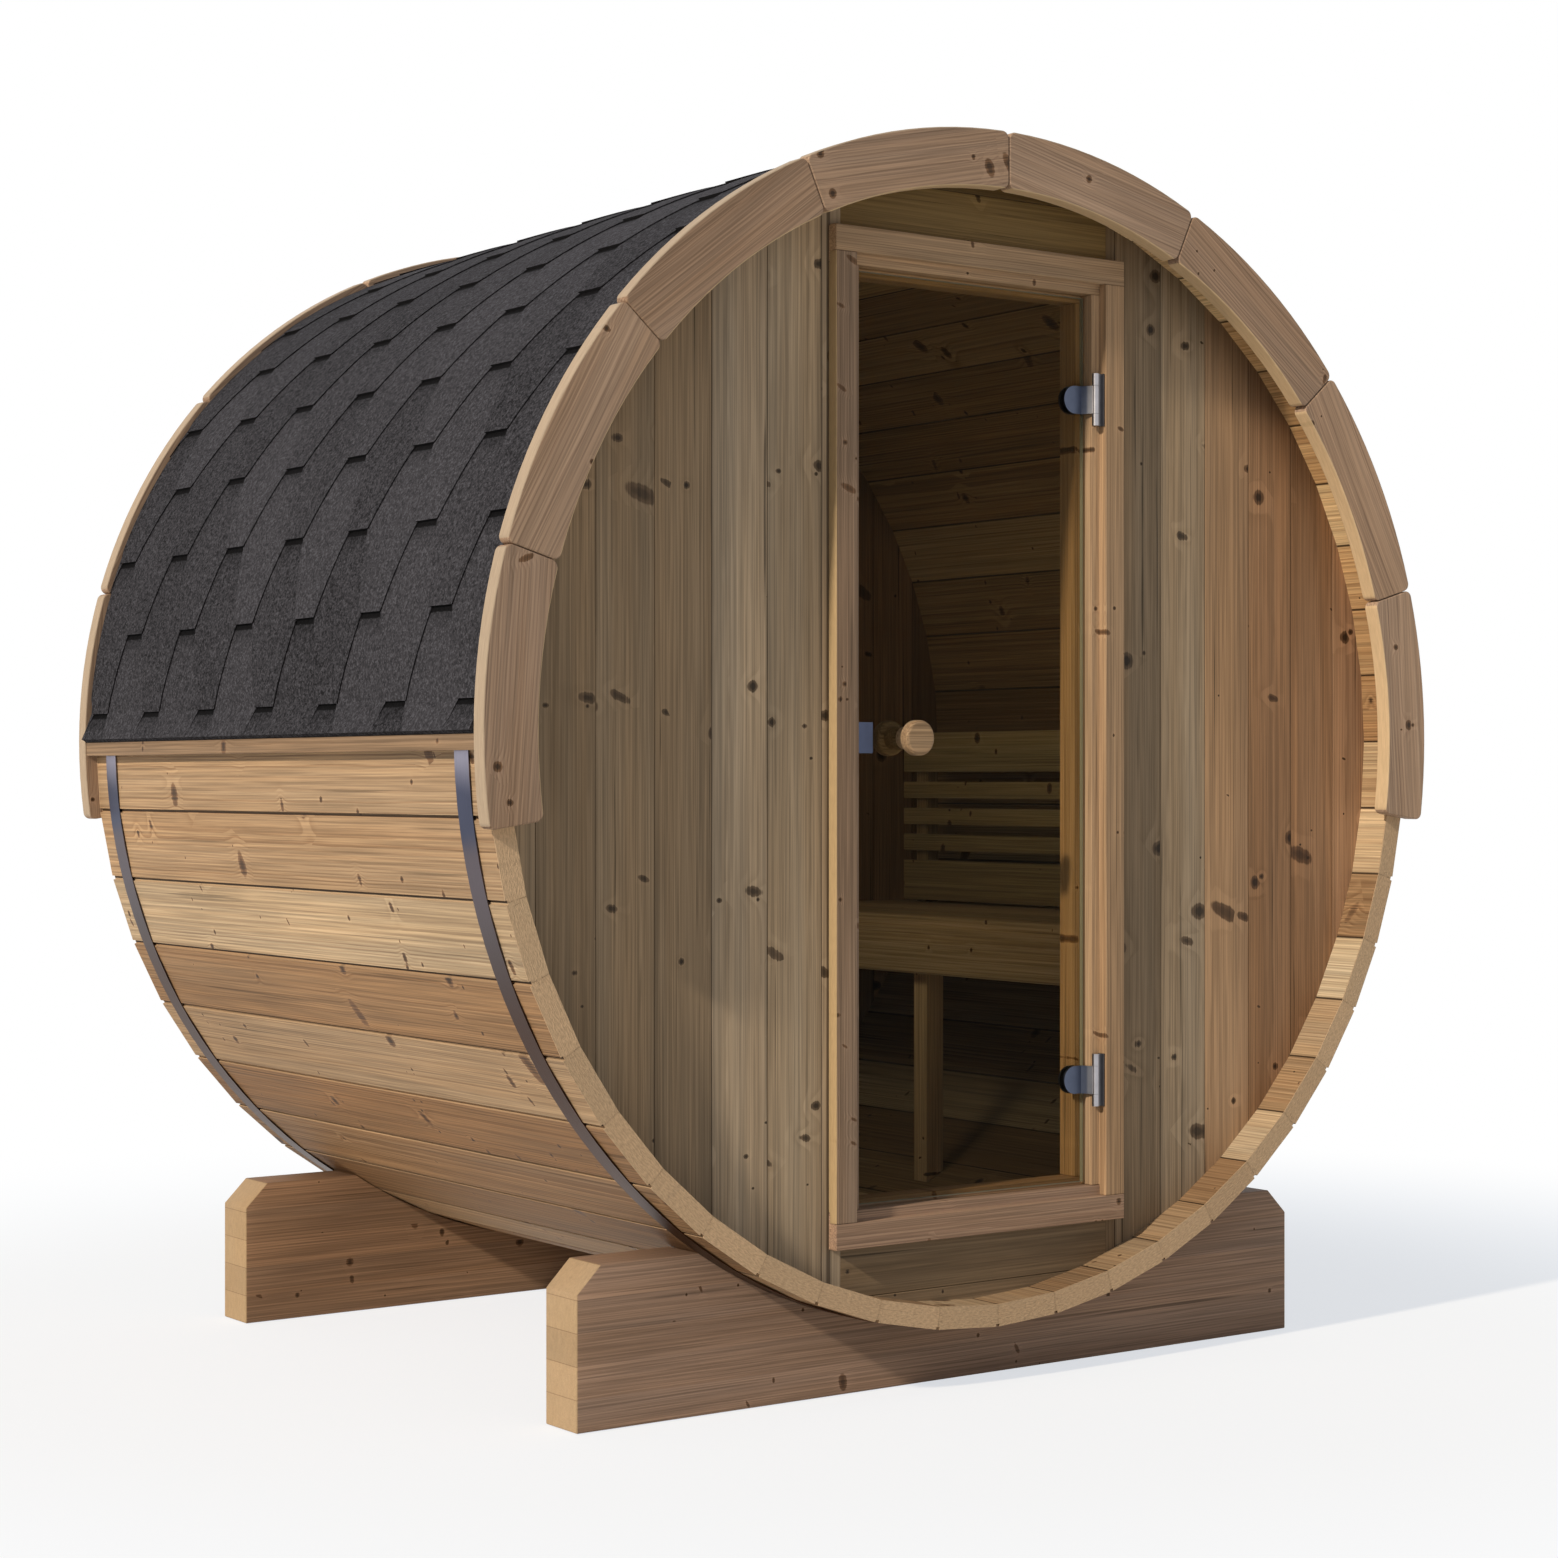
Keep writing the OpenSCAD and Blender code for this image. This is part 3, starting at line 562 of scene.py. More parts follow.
def trim_finish():
    """Trim rings: the grain runs straight along each board, and the outer rim and the bore are paler."""
    f = Finish("trim_wood")
    rise = f.z - AXIS_Z
    turn = f.math("ARCTAN2", f.x, rise)
    number = f.math("FLOOR", turn / TRIM_STEP)
    board = number + f.math("GREATER_THAN", f.y, 0.0) * 20.0
    off = turn - (number + 0.5) * TRIM_STEP
    radius = f.length(f.x, rise)
    along = radius * f.math("SINE", off)
    across = radius * f.math("COSINE", off) - TRIM_R + TRIM_W / 2
    depth = STAVE_END_Y - abs(f.y)
    colour, rough, height = wood(f, along, across, depth, board + TRIM_SEED, TRIM_TIMBER)
    patchiness = f.noise(f.vector(turn * 40, f.y * 300, radius * 300), detail=3.0) * 0.4 + 0.8
    rim = f.step(radius, TRIM_R - 3 * SKIN, TRIM_R - 2 * SKIN)
    colour = f.mix(rim * 0.85, colour, f.scale(TRIM_RIM, patchiness))
    bore = f.fade(radius, TRIM_R - TRIM_W + 2 * SKIN, TRIM_R - TRIM_W + 3 * SKIN)
    colour = f.mix(bore * 0.8, colour, f.scale(TRIM_BORE, patchiness))
    return f.surface(colour, rough, height, Specular_IOR_Level=TRIM_TIMBER.shine)


# Wall joints: least width of the line of dirt, its spread and its soft edge, and the painted shade beside it
DIRT_W = 0.0002
DIRT_SPREAD = 0.0016
DIRT_SOFT = 0.0004
DULL_W = 0.010
DULL = 0.20

# Painted shade in the gap between the left door post and the wall board beside it: full and faded half width
POST_GAP_SHADE = (0.0025, 0.0055)

# Painted shade at the upper right, where the rim keeps the sky off the wall: its distance from the axis, its
# height above it and its side
RIM_SHADE_R = (0.82, 0.98)
RIM_SHADE_RISE = (0.38, 0.60)
RIM_SHADE_X = (0.30, 0.55)


def wall_finish(name, upright, first, seed, casts):
    """Wall boards, upright or lying, told apart by their pitch from the first joint, dark with dirt and
    painted shade at the joints, with painted shade beside the left door post and at the upper right under the
    rim. casts are the tints over the boards before and after the place where the warm ones start."""
    f = Finish(name)
    along, across = (f.z, f.x) if upright else (f.x, f.z)
    number = f.math("FLOOR", (across - first) / BOARD_PITCH)
    local = across - first - (number + 0.5) * BOARD_PITCH
    colour, rough, height = wood(f, along, local, f.y, number + seed, WALL_TIMBER)
    warm = f.math("GREATER_THAN", f.x, WARM_BOARDS_X)
    # Casts over whole boards: the warm one is partly painted sunlight, the one over the door painted shade
    colour = f.cast(colour, f.mix(warm, *casts))
    colour = f.mix(warm * f.step(f.x, *RUDDY_X), colour, f.cast(colour, RUDDY_CAST))
    from_joint = BOARD_PITCH / 2 - abs(local)
    side = f.math("ROUND", (across - first) / BOARD_PITCH)
    tight = f.random(side + seed)
    dirt = f.noise(f.vector(along * 5, side + seed, 0.0)) * DIRT_SPREAD + DIRT_W
    line = f.fade(from_joint, dirt * 0.5, dirt + DIRT_SOFT) * (tight * 0.6 + 0.2)
    colour = f.mix(line, colour, JOINT_DIRT_AND_SHADE)
    # Painted shade beside the joints, by a random amount for each joint
    colour = f.scale(colour, f.step(from_joint, 0.0, DULL_W) * DULL * tight + (1 - tight * DULL))
    # Painted shade in the gap beside the left door post
    beside = abs(f.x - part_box("door_post_left")[0].x)
    colour = f.mix(f.fade(beside, *POST_GAP_SHADE) * 0.7, colour, JOINT_DIRT_AND_SHADE)
    # Painted shade at the upper right, where the rim keeps the sky off the wall
    rise = f.z - AXIS_Z
    near_rim = f.step(f.length(f.x, rise), *RIM_SHADE_R)
    rim_shade = near_rim * f.step(rise, *RIM_SHADE_RISE) * f.step(f.x, *RIM_SHADE_X)
    colour = f.scale(colour, 1 - rim_shade * 0.55)
    return f.surface(colour, rough, height, Specular_IOR_Level=WALL_TIMBER.shine)


def planks(f, node, grain, face, timber, rows=None):
    """Colour, roughness, height and board numbers of one node's boards. grain is the axis they run along,
    face the axis of their broad side, and rows the axis and pitch that part them."""
    low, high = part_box(node)
    local = [axis - centre for axis, centre in zip((f.x, f.y, f.z), (low + high) / 2)]
    board = float(sorted(NODES).index(node)) * 31.0
    if rows:
        axis, pitch = rows
        place = local[axis] + (high[axis] - low[axis]) / 2
        number = f.math("FLOOR", place / pitch)
        local[axis] = place - (number + 0.5) * pitch
        board = number + board
    else:
        board = f.math("ADD", board, 0.0)
    side = 3 - grain - face
    return *wood(f, local[grain], local[side], local[face], board, timber), board


def plank_finish(node, grain, face, timber, rows=None):
    """Boards of one node, planed all round."""
    f = Finish(node + "_wood")
    colour, rough, height, board = planks(f, node, grain, face, timber, rows)
    return f.surface(colour, rough, height, Specular_IOR_Level=timber.shine)


def left_post_finish(node, timber):
    """The left door post, with painted sunlight on its side towards the wall boards."""
    f = Finish(node + "_wood")
    colour, rough, height, board = planks(f, node, 2, 1, timber)
    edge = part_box(node)[0].x
    # Painted sunlight: the side towards the wall boards, which faces the light, is painted pale
    side = f.fade(f.x, edge + SKIN, edge + 2 * SKIN)
    patchiness = f.noise(f.vector(f.y * 300, f.z * 50, board), detail=3.0) * 0.4 + 0.8
    colour = f.mix(side * 0.85, colour, f.scale(POST_SIDE_SUN, patchiness))
    return f.surface(colour, rough, height, Specular_IOR_Level=timber.shine)


def cradle_finish(node, timber):
    """A glued beam of several layers, with pale sawn ends and chamfers where the layers show."""
    low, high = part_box(node)
    f = Finish(node + "_wood")
    rows = row_pitch(node, 2, CRADLE_LAYERS, 0.0)
    colour, rough, height, board = planks(f, node, 0, 1, timber, rows)
    out = abs(f.x - (low.x + high.x) / 2) - (high.x - low.x) / 2
    flat_end = f.step(out, -3 * SKIN, -2 * SKIN)
    chamfer = f.step(out + f.z - high.z + CRADLE_CHAMFER, -3 * SKIN, -2 * SKIN)
    end = f.math("MAXIMUM", flat_end, chamfer)
    sawn = f.noise(f.vector(f.x * 60, f.y * 160, f.z * 60), detail=4.0)
    shade = (sawn * 0.4 + 0.8) * (f.random(board + 0.71) * 0.24 + 0.88)
    colour = f.mix(end * 0.68, colour, f.scale(CRADLE_END, shade))
    layer = (f.z - low.z) / rows[1]
    from_joint = abs(layer - f.math("ROUND", layer)) * rows[1]
    glue = f.fade(from_joint, *GLUE_LINE) * end * 0.45
    colour = f.mix(glue, colour, timber.halo)
    return f.surface(colour, rough, height, Specular_IOR_Level=timber.shine)


def shingle_finish():
    """Bitumen shingles: charcoal mineral grains, a black bar and a soft shade under each foot, and dark cut
    edges, darkest at the feet."""
    f = Finish("shingle_grains")
    tab, cut, up_tab = (f.node("ShaderNodeAttribute", {"attribute_name": name}, output="Fac")
                        for name in ("tab", "cut_edge", "up_tab"))
    grain = f.node("ShaderNodeTexVoronoi", None, {"Vector": f.place, "Scale": 330.0})
    shade = f.split(grain.other("Color"))[0]
    clumps = f.noise(f.place, 120.0, 3.0)
    cloud = f.noise(f.place, 3.0, 3.0)
    ragged = up_tab + (clumps - 0.5) * 0.04
    shadow = f.step(ragged, *FOOT_SHADE) * 0.42
    bar = f.step(ragged, *FOOT_BAR) * 0.5
    tone = shade * shade * 1.1 + f.step(clumps, *SHARP) * 0.5 + cloud * 0.3 + tab * 0.35
    colour = f.scale(SHINGLE_GREY, tone * (1 - shadow - bar))
    foot = f.fade(up_tab, 0.0, 0.10)
    colour = f.mix(cut * (foot * 0.45 + 0.5), colour, CUT_BLACK)
    height = shade * 0.6 + clumps * 0.4
    return f.surface(colour, 0.86 + shade * 0.1, height, 0.0012, Specular_IOR_Level=0.06)


def hoop_finish():
    """Flat steel strip with a faint drawn grain along its length, and painted reflections: of a pale and then
    blue sky below the eaves, and of the brown ground lower down."""
    f = Finish("hoop_steel")
    turn = f.math("ARCTAN2", f.x, f.z - AXIS_Z)
    drawn = f.noise(f.vector(turn * 4.0, f.y * 900.0, 0.0), detail=3.0)
    cloud = f.noise(f.place, 9.0, 3.0)
    fall = AXIS_Z - f.z + (cloud - 0.5) * 0.04
    # Painted reflections: pale and blue sky high up, then grey, then brown ground low down
    colour = f.mix(f.step(fall, *HOOP_SKY_PALE_FALL), HOOP_SKY_PALE, HOOP_SKY_BLUE)
    colour = f.mix(f.step(fall, *HOOP_SKY_BLUE_FALL), colour, HOOP_SKY_GREY)
    colour = f.mix(f.step(fall, *HOOP_SKY_GREY_FALL), colour, HOOP_REFLECTED_GREY)
    colour = f.mix(f.step(fall, *HOOP_GROUND_BROWN_FALL), colour, HOOP_GROUND_BROWN)
    colour = f.scale(colour, drawn * 0.4 + cloud * 0.5 + 0.55)
    return f.surface(colour, drawn * 0.18 + 0.27, drawn, 0.00008, Metallic=1.0)


def metal_finish(name, base):
    """Satin metal with fine blasted grain, with painted highlights: bright on the hinge knuckles and paler
    beside them.
    """
    f = Finish(name)
    pin = Vector(frame["joints"][0]["pos_m"])
    blast = f.noise(f.place, 2600.0, 2.0)
    cloud = f.noise(f.place, 60.0, 3.0)
    from_pin = f.length(f.x - pin.x, f.y - pin.y)
    # Painted highlights on the knuckles and on the clamps round the pin
    knuckle = f.fade(from_pin, KNUCKLE_R, KNUCKLE_R + SKIN)
    bright = f.fade(from_pin, *BRIGHT_CLAMP_R)
    colour = f.mix(bright * 0.6, base, CLAMP_GLINT)
    colour = f.mix(knuckle, colour, KNUCKLE_GLINT)
    colour = f.scale(colour, cloud * 0.4 + 0.8)
    return f.surface(colour, blast * 0.12 + 0.30, blast, 0.00004, Metallic=1.0)


def glass_finish():
    """Bronze tinted safety glass with paler ground edges."""
    low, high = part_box("door_glass")
    f = Finish("door_glass")
    middle = (low + high) / 2
    half = (high - low) / 2
    side = f.step(abs(f.x - middle.x), half.x - SKIN, half.x - SKIN / 2)
    top = f.step(abs(f.z - middle.z), half.z - SKIN, half.z - SKIN / 2)
    edge = f.math("MAXIMUM", side, top)
    smear = f.noise(f.place, 5.0, 3.0)
    colour = f.mix(edge, GLASS_FACE, GLASS_EDGE)
    inputs = {"Base Color": colour, "Roughness": smear * 0.03 + 0.015 + edge * 0.3, "IOR": 1.5,
              "Specular IOR Level": 0.3}
    sheen = f.node("ShaderNodeBsdfPrincipled", None, inputs)
    bronze = f.node("ShaderNodeBsdfTransparent", None, {"Color": GLASS_BRONZE})
    f.output(f.node("ShaderNodeMixShader", None, {0: edge * 0.7 + 0.08, 1: bronze, 2: sheen}))
    return f.material


def link(name, data):
    """A new object in the scene."""
    made = bpy.data.objects.new(name, data)
    bpy.context.scene.collection.objects.link(made)
    return made


def settle(piece, modifier, material):
    """Turns what a modifier makes into the piece's plain mesh, of one material."""
    graph = bpy.context.evaluated_depsgraph_get()
    piece.data = bpy.data.meshes.new_from_object(piece.evaluated_get(graph), depsgraph=graph)
    piece.modifiers.remove(modifier)
    piece.data.materials.clear()
    piece.data.materials.append(material)
    piece.data.polygons.foreach_set("material_index", [0] * len(piece.data.polygons))


class Recipe(Graph):
    """A Geometry Nodes tree with named sizes, which ends as a plain mesh."""

    KINDS = {int: "NodeSocketInt", float: "NodeSocketFloat", tuple: "NodeSocketVector"}

    def __init__(self, name, sizes):
        super().__init__(bpy.data.node_groups.new(name, "GeometryNodeTree"))
        self.sizes = sizes
        for label, value in sizes.items():
            kind = self.KINDS[type(value)]
            self.tree.interface.new_socket(label, in_out="INPUT", socket_type=kind)
        self.tree.interface.new_socket("Mesh", in_out="OUTPUT", socket_type="NodeSocketGeometry")
        self.entry = self.tree.nodes.new("NodeGroupInput")

    def size(self, label):
        return Wire(self, self.entry.outputs[label])

    def move(self, mesh, x, y, z):
        return self.node("GeometryNodeSetPosition", None, {0: mesh, "Position": self.vector(x, y, z)})

    def place(self):
        return self.split(self.node("GeometryNodeInputPosition"))

    def store(self, mesh, domain, name, value, **more):
        """Keeps a value on the points, faces or instances of a mesh."""
        settings = {"data_type": "FLOAT", "domain": domain}
        inputs = {0: mesh, "Name": name, "Value": value, **more}
        return self.node("GeometryNodeStoreNamedAttribute", settings, inputs)

    def grid(self, x, y, columns, rows):
        """A flat grid of a size, with so many vertices each way."""
        inputs = {"Size X": x, "Size Y": y, "Vertices X": columns, "Vertices Y": rows}
        return self.node("GeometryNodeMeshGrid", None, inputs)

    def slab(self, faces, x, y, z):
        """Closes flat faces into a solid by carrying them along one vector, with its sides and its far face
        marked."""
        inputs = {"Mesh": faces, "Offset": self.vector(x, y, z), "Offset Scale": 1.0, "Individual": False}
        grown = self.node("GeometryNodeExtrudeMesh", {"mode": "FACES"}, inputs)
        marked = self.store(grown, "FACE", "cut_edge", grown.other("Side"))
        marked = self.store(marked, "POINT", "on_top", 1.0, Selection=grown.other("Top"))
        under = self.node("GeometryNodeFlipFaces", None, {0: faces})
        joined = self.node("GeometryNodeJoinGeometry", None, {0: [marked, under]})
        return self.node("GeometryNodeMergeByDistance", None, {0: joined, "Distance": 1e-6})

    def build(self, name, mesh, material):
        """Runs the tree once and returns an object that holds the plain mesh."""
        whole = self.node("GeometryNodeRealizeInstances", None, {0: mesh})
        painted = self.node("GeometryNodeSetMaterial", None, {0: whole, "Material": material})
        self.node("NodeGroupOutput", None, {0: painted})
        piece = link(name, bpy.data.meshes.new(name))
        modifier = piece.modifiers.new("recipe", "NODES")
        modifier.node_group = self.tree
        for item in self.tree.interface.items_tree:
            if item.in_out == "INPUT":
                modifier[item.identifier] = self.sizes[item.name]
        settle(piece, modifier, material)
        return piece


def shingle_sizes():
    """Sizes of the tabs, their courses and the caps. Courses are measured up from the lip of the eaves, along
    the covering."""
    low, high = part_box("left_eaves_covering")
    lip_z = low.z + EAVES_LIP
    cover_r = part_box("roof_covering")[1].z - AXIS_Z
    eaves_angle = math.pi / 2 + (AXIS_Z - lip_z) / cover_r
    return {
        "Cover radius": cover_r,
        "Eaves angle": eaves_angle,
        "Eaves kick": -low.x - cover_r,
        "Kick height": high.z - lip_z,
        "Roof half length": high.y,
        "First foot": (eaves_angle - FIRST_FOOT_ANGLE) * cover_r,
        "Course": 0.1461,
        "Courses": 13,
        "Pitch": 0.231,
        "Tabs": 9,
        "Tab phase": -0.0055,
        "Foot width": 0.070,
        "Tab width": 0.166,
        "Tab thickness": 0.0020,
        "Foot rise": 0.0054,
        "Foot drop": 0.0029,
        "Settled height": 0.06,
        "Cap half width": 0.125,
        "Cap exposure": 0.165,
        "Caps": 10,
    }


def roof_shingles(material):
    """Six-sided tabs in staggered courses on both slopes, with caps along the crown."""
    r = Recipe("shingle_courses", shingle_sizes())
    course, pitch = r.size("Course"), r.size("Pitch")
    limit, cover_r = r.size("Roof half length"), r.size("Cover radius")
    crown = r.size("Eaves angle") * cover_r
    thick = r.size("Tab thickness")
    half, gap = r.size("Cap half width"), r.size("Cap exposure")

    def clip(mesh, low, high):
        """Drops faces wholly outside the roof and pulls the rest in to its edges."""
        s, y, h = r.place()
        inside_s = r.math("GREATER_THAN", s, low) * r.math("LESS_THAN", s, high)
        inside = inside_s * r.math("LESS_THAN", abs(y), limit)
        outside = r.math("LESS_THAN", inside, 0.5)
        settings = {"data_type": "BOOLEAN", "domain": "POINT"}
        choice = r.node("GeometryNodeFieldOnDomain", settings, {0: outside})
        kept = r.node("GeometryNodeDeleteGeometry", {"domain": "FACE"}, {0: mesh, "Selection": choice})
        held_s = r.math("MINIMUM", r.math("MAXIMUM", s, low), high)
        held_y = r.math("MINIMUM", r.math("MAXIMUM", y, limit * -1.0), limit)
        return r.move(kept, held_s, held_y, h)

    def spread(points, shape):
        """Copies of a shape on points, each turned a hair and numbered by chance."""
        index = r.node("GeometryNodeInputIndex")
        turn = r.vector(0.0, 0.0, (r.random(index + 0.5) - 0.5) * CHANCE_TURN)
        inputs = {"Points": points, "Instance": shape, "Rotation": turn}
        copies = r.node("GeometryNodeInstanceOnPoints", None, inputs)
        copies = r.store(copies, "INSTANCE", "tab", r.random(index + 0.25))
        return r.node("GeometryNodeRealizeInstances", None, {0: copies})

    def wrap(mesh):
        """Bends the flat layout round the barrel, with the kick at the eaves."""
        s, y, h = r.place()
        kick = r.ramp(s, 0.0, r.size("Kick height"), r.size("Eaves kick"), 0.0)
        angle = r.size("Eaves angle") - s / cover_r
        radius = cover_r + kick + h
        x = radius * r.math("SINE", angle) * -1.0
        return r.move(mesh, x, y, radius * r.math("COSINE", angle) + AXIS_Z)

    def settled(s):
        """How high the feet lie: flat at the lip of the eaves, low under the caps and full between."""
        under_cap = r.ramp(crown - s, half, half + r.size("Settled height"), UNDER_CAP, 1.0)
        return r.ramp(s, 0.0, r.size("Settled height")) * under_cap

    def seat(mesh):
        """Presses the underside of each foot down on to the course below."""
        s, y, h = r.place()
        on_top, up = (r.node("GeometryNodeInputNamedAttribute", {"data_type": "FLOAT"}, {"Name": name})
                      for name in ("on_top", "up_tab"))
        under_foot = r.ramp(up, 0.0, FOOT_END, 1.0, 0.0) * (1 - on_top)
        return r.move(mesh, s, y, h - r.size("Foot drop") * under_foot * settled(s))

    tab_l = course * TAB_REACH
    tab = r.grid(tab_l, 1.0, *TAB_GRID)
    x, y, h = r.place()
    up = x + tab_l / 2
    width = r.ramp(up, 0.0, course, r.size("Foot width"), r.size("Tab width"))
    tab = r.store(tab, "POINT", "up_tab", up / course)
    tab = r.move(tab, up, y * width, r.size("Foot rise") * (1 - up / tab_l))

    courses, tabs = r.size("Courses"), r.size("Tabs")
    roof_l = course * (courses - 1)
    points = r.grid(roof_l, pitch * (tabs - 1), courses, tabs)
    x, y, h = r.place()
    up = x + roof_l / 2
    odd = r.math("MODULO", r.math("ROUND", up / course), 2.0)
    points = r.move(points, up + r.size("First foot"), y + r.size("Tab phase") + odd * pitch / 2, 0.0)
    flat = clip(spread(points, tab), 0.0, crown)
    s, y, h = r.place()
    flat = r.move(flat, s, y, h * settled(s))
    slope = wrap(seat(r.slab(flat, 0.0, 0.0, thick)))
    turned = (0.0, 0.0, math.pi)
    far_slope = r.node("GeometryNodeTransform", None, {"Geometry": slope, "Rotation": turned})

    cap_l = gap * CAP_REACH
    cap = r.grid(half * 2, cap_l, *CAP_GRID)
    x, y, h = r.place()
    cap = r.move(cap, x, y, r.size("Foot rise") * (1.0 - y / cap_l * CAP_FALL))
    start = r.vector(crown, limit * -1.0 + cap_l / 2, 0.0)
    inputs = {"Count": r.size("Caps"), "Start Location": start, "Offset": r.vector(0.0, gap, 0.0)}
    line = r.node("GeometryNodeMeshLine", None, inputs)
    caps = wrap(r.slab(clip(spread(line, cap), crown - half, crown + half), 0.0, 0.0, thick))
    both = r.node("GeometryNodeJoinGeometry", None, {0: [slope, far_slope, caps]})
    return r.build("roof_shingles", both, material)


def wall_boards(node, upright, first, seed, casts):
    """Boards with eased edges that fill the outline of one wall node."""
    low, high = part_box(node)
    wall_low, wall_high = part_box("back_wall")
    start = low.x if upright else low.z
    stop = high.x if upright else high.z
    before = math.floor((start - first) / BOARD_PITCH)
    count = math.ceil((stop - first) / BOARD_PITCH) - before
    sizes = {
        "First joint": first + before * BOARD_PITCH,
        "Pitch": BOARD_PITCH,
        "Boards": count,
        "Joint gap": 0.0003,
        "Eased edge": 0.0014,
        "Wall thickness": high.y - low.y,
        "Wall middle": (low.y + high.y) / 2,
        "Wall radius": (wall_high.z - wall_low.z) / 2,
        "Clip middle": tuple((low + high) / 2),
        "Clip size": tuple(high - low),
    }
    r = Recipe(node + "_recipe", sizes)
    pitch, thick = r.size("Pitch"), r.size("Wall thickness")
    inputs = {"Width": pitch - r.size("Joint gap"), "Height": thick}
    section = r.node("GeometryNodeCurvePrimitiveQuadrilateral", None, inputs)
    inputs = {"Curve": section, "Count": 2, "Radius": r.size("Eased edge"), "Limit Radius": True}
    section = r.node("GeometryNodeFilletCurve", {"mode": "POLY"}, inputs)
    face = r.node("GeometryNodeFillCurve", {"mode": "NGONS"}, {0: section})
    reach = r.size("Wall radius") * 2.6
    board = r.slab(face, 0.0, 0.0, reach)
    inputs = {"Count": r.size("Boards"), "Offset": r.vector(pitch, 0.0, 0.0),
              "Start Location": r.vector(r.size("First joint") + pitch / 2, 0.0, reach * -0.5)}
    line = r.node("GeometryNodeMeshLine", None, inputs)
    row = r.node("GeometryNodeInstanceOnPoints", None, {"Points": line, "Instance": board})
    row = r.node("GeometryNodeRealizeInstances", None, {0: row})
    shift = r.vector(0.0, r.size("Wall middle"), AXIS_Z if upright else 0.0)
    turn = (0.0, 0.0 if upright else -math.pi / 2, 0.0)
    inputs = {"Geometry": row, "Translation": shift, "Rotation": turn}
    row = r.node("GeometryNodeTransform", None, inputs)
    inputs = {"Vertices": STAVE_COUNT, "Radius": r.size("Wall radius"), "Depth": thick * 3.0}
    disc = r.node("GeometryNodeMeshCylinder", None, inputs)
    inputs = {"Geometry": disc, "Rotation": (math.pi / 2, 0.0, 0.0),
              "Translation": r.vector(0.0, r.size("Wall middle"), AXIS_Z)}
    disc = r.node("GeometryNodeTransform", None, inputs)
    box = r.node("GeometryNodeMeshCube", None, {"Size": r.size("Clip size")})
    box = r.node("GeometryNodeTransform", None, {"Geometry": box, "Translation": r.size("Clip middle")})
    settings = {"operation": "INTERSECT", "solver": "EXACT"}
    cut = r.node("GeometryNodeMeshBoolean", settings, {"Mesh 2": [row, disc, box]})
    material = wall_finish(node + "_wood", upright, first, seed, casts)
    piece = r.build(node + "_boards", cut, material)
    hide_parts(node)
    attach(piece, BODY)


def eased_copy(node, width, material):
    """Stands in for a node of sawn wood with its sharp corners sanded off."""
    shell = bmesh.new()
    shell.from_mesh(NODES[node].data)
    bmesh.ops.remove_doubles(shell, verts=shell.verts, dist=1e-5)
    bmesh.ops.dissolve_limit(shell, angle_limit=math.radians(0.05), verts=shell.verts, edges=shell.edges)
    mesh = bpy.data.meshes.new(node + "_eased")
    shell.to_mesh(mesh)
    shell.free()
    piece = link(node + "_eased", mesh)
    bevel = piece.modifiers.new("eased", "BEVEL")
    bevel.width = width
    bevel.segments = 2
    bevel.limit_method = "ANGLE"
    bevel.angle_limit = math.radians(40)
    settle(piece, bevel, material)
    piece.data.polygons.foreach_set("use_smooth", [True] * len(piece.data.polygons))
    piece.data.set_sharp_from_angle(angle=math.radians(25))
    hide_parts(node)
    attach(piece, BODY)


def paint(node, material):
    """Gives a CAD node its finish."""
    for slot in NODES[node].material_slots:
        slot.material = material


def row_pitch(node, axis, count, gap):
    """Axis and pitch of boards that lie side by side in one node."""
    low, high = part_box(node)
    return axis, (high[axis] - low[axis] + gap) / count


def dress_barrel():
    """Staves, trim rings, cradles, eaves battens and hoops."""
    staves = stave_finish()
    for node in NODES:
        if node.endswith("_staves"):
            paint(node, staves)
    trim = trim_finish()
    for end, timber in (("front", CRADLE_TIMBER), ("back", SHADED_CRADLE)):
        for side in ("left", "right"):
            eased_copy(f"{end}_trim_{side}", BEAM_EASE, trim)
        eased_copy(end + "_cradle", BEAM_EASE, cradle_finish(end + "_cradle", timber))
    for side in ("left", "right"):
        batten = plank_finish(side + "_eaves_batten", 1, 0, BATTEN_TIMBER)
        eased_copy(side + "_eaves_batten", FRAME_EASE, batten)
    hoop = hoop_finish()
    paint("front_hoop", hoop)
    paint("back_hoop", hoop)


def dress_roof():
    """Shingles, and the covering under them."""
    grains = shingle_finish()
    shingles = roof_shingles(grains)
    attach(shingles, BODY)
    for node in ("roof_covering", "left_eaves_covering", "right_eaves_covering"):
        paint(node, grains)


def dress_walls():
    """Boards of the two end walls."""
    under_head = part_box("front_wall_over_door")[0].z
    under_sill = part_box("front_wall_under_door")[1].z
    wall_boards("front_wall_left", True, LEFT_JOINT_X, LEFT_WALL_SEED, (GREY_CAST, GREY_CAST))
    wall_boards("front_wall_right", True, RIGHT_JOINT_X, RIGHT_WALL_SEED, (FADED_CAST, WARM_CAST))
    wall_boards("back_wall", True, LEFT_JOINT_X, BACK_WALL_SEED, (GREY_CAST, WARM_CAST))
    wall_boards("front_wall_over_door", False, under_head, HEAD_SEED, (PAINTED_SHADE_CAST, PAINTED_SHADE_CAST))
    wall_boards("front_wall_under_door", False, under_sill, SILL_SEED, (GREY_CAST, GREY_CAST))


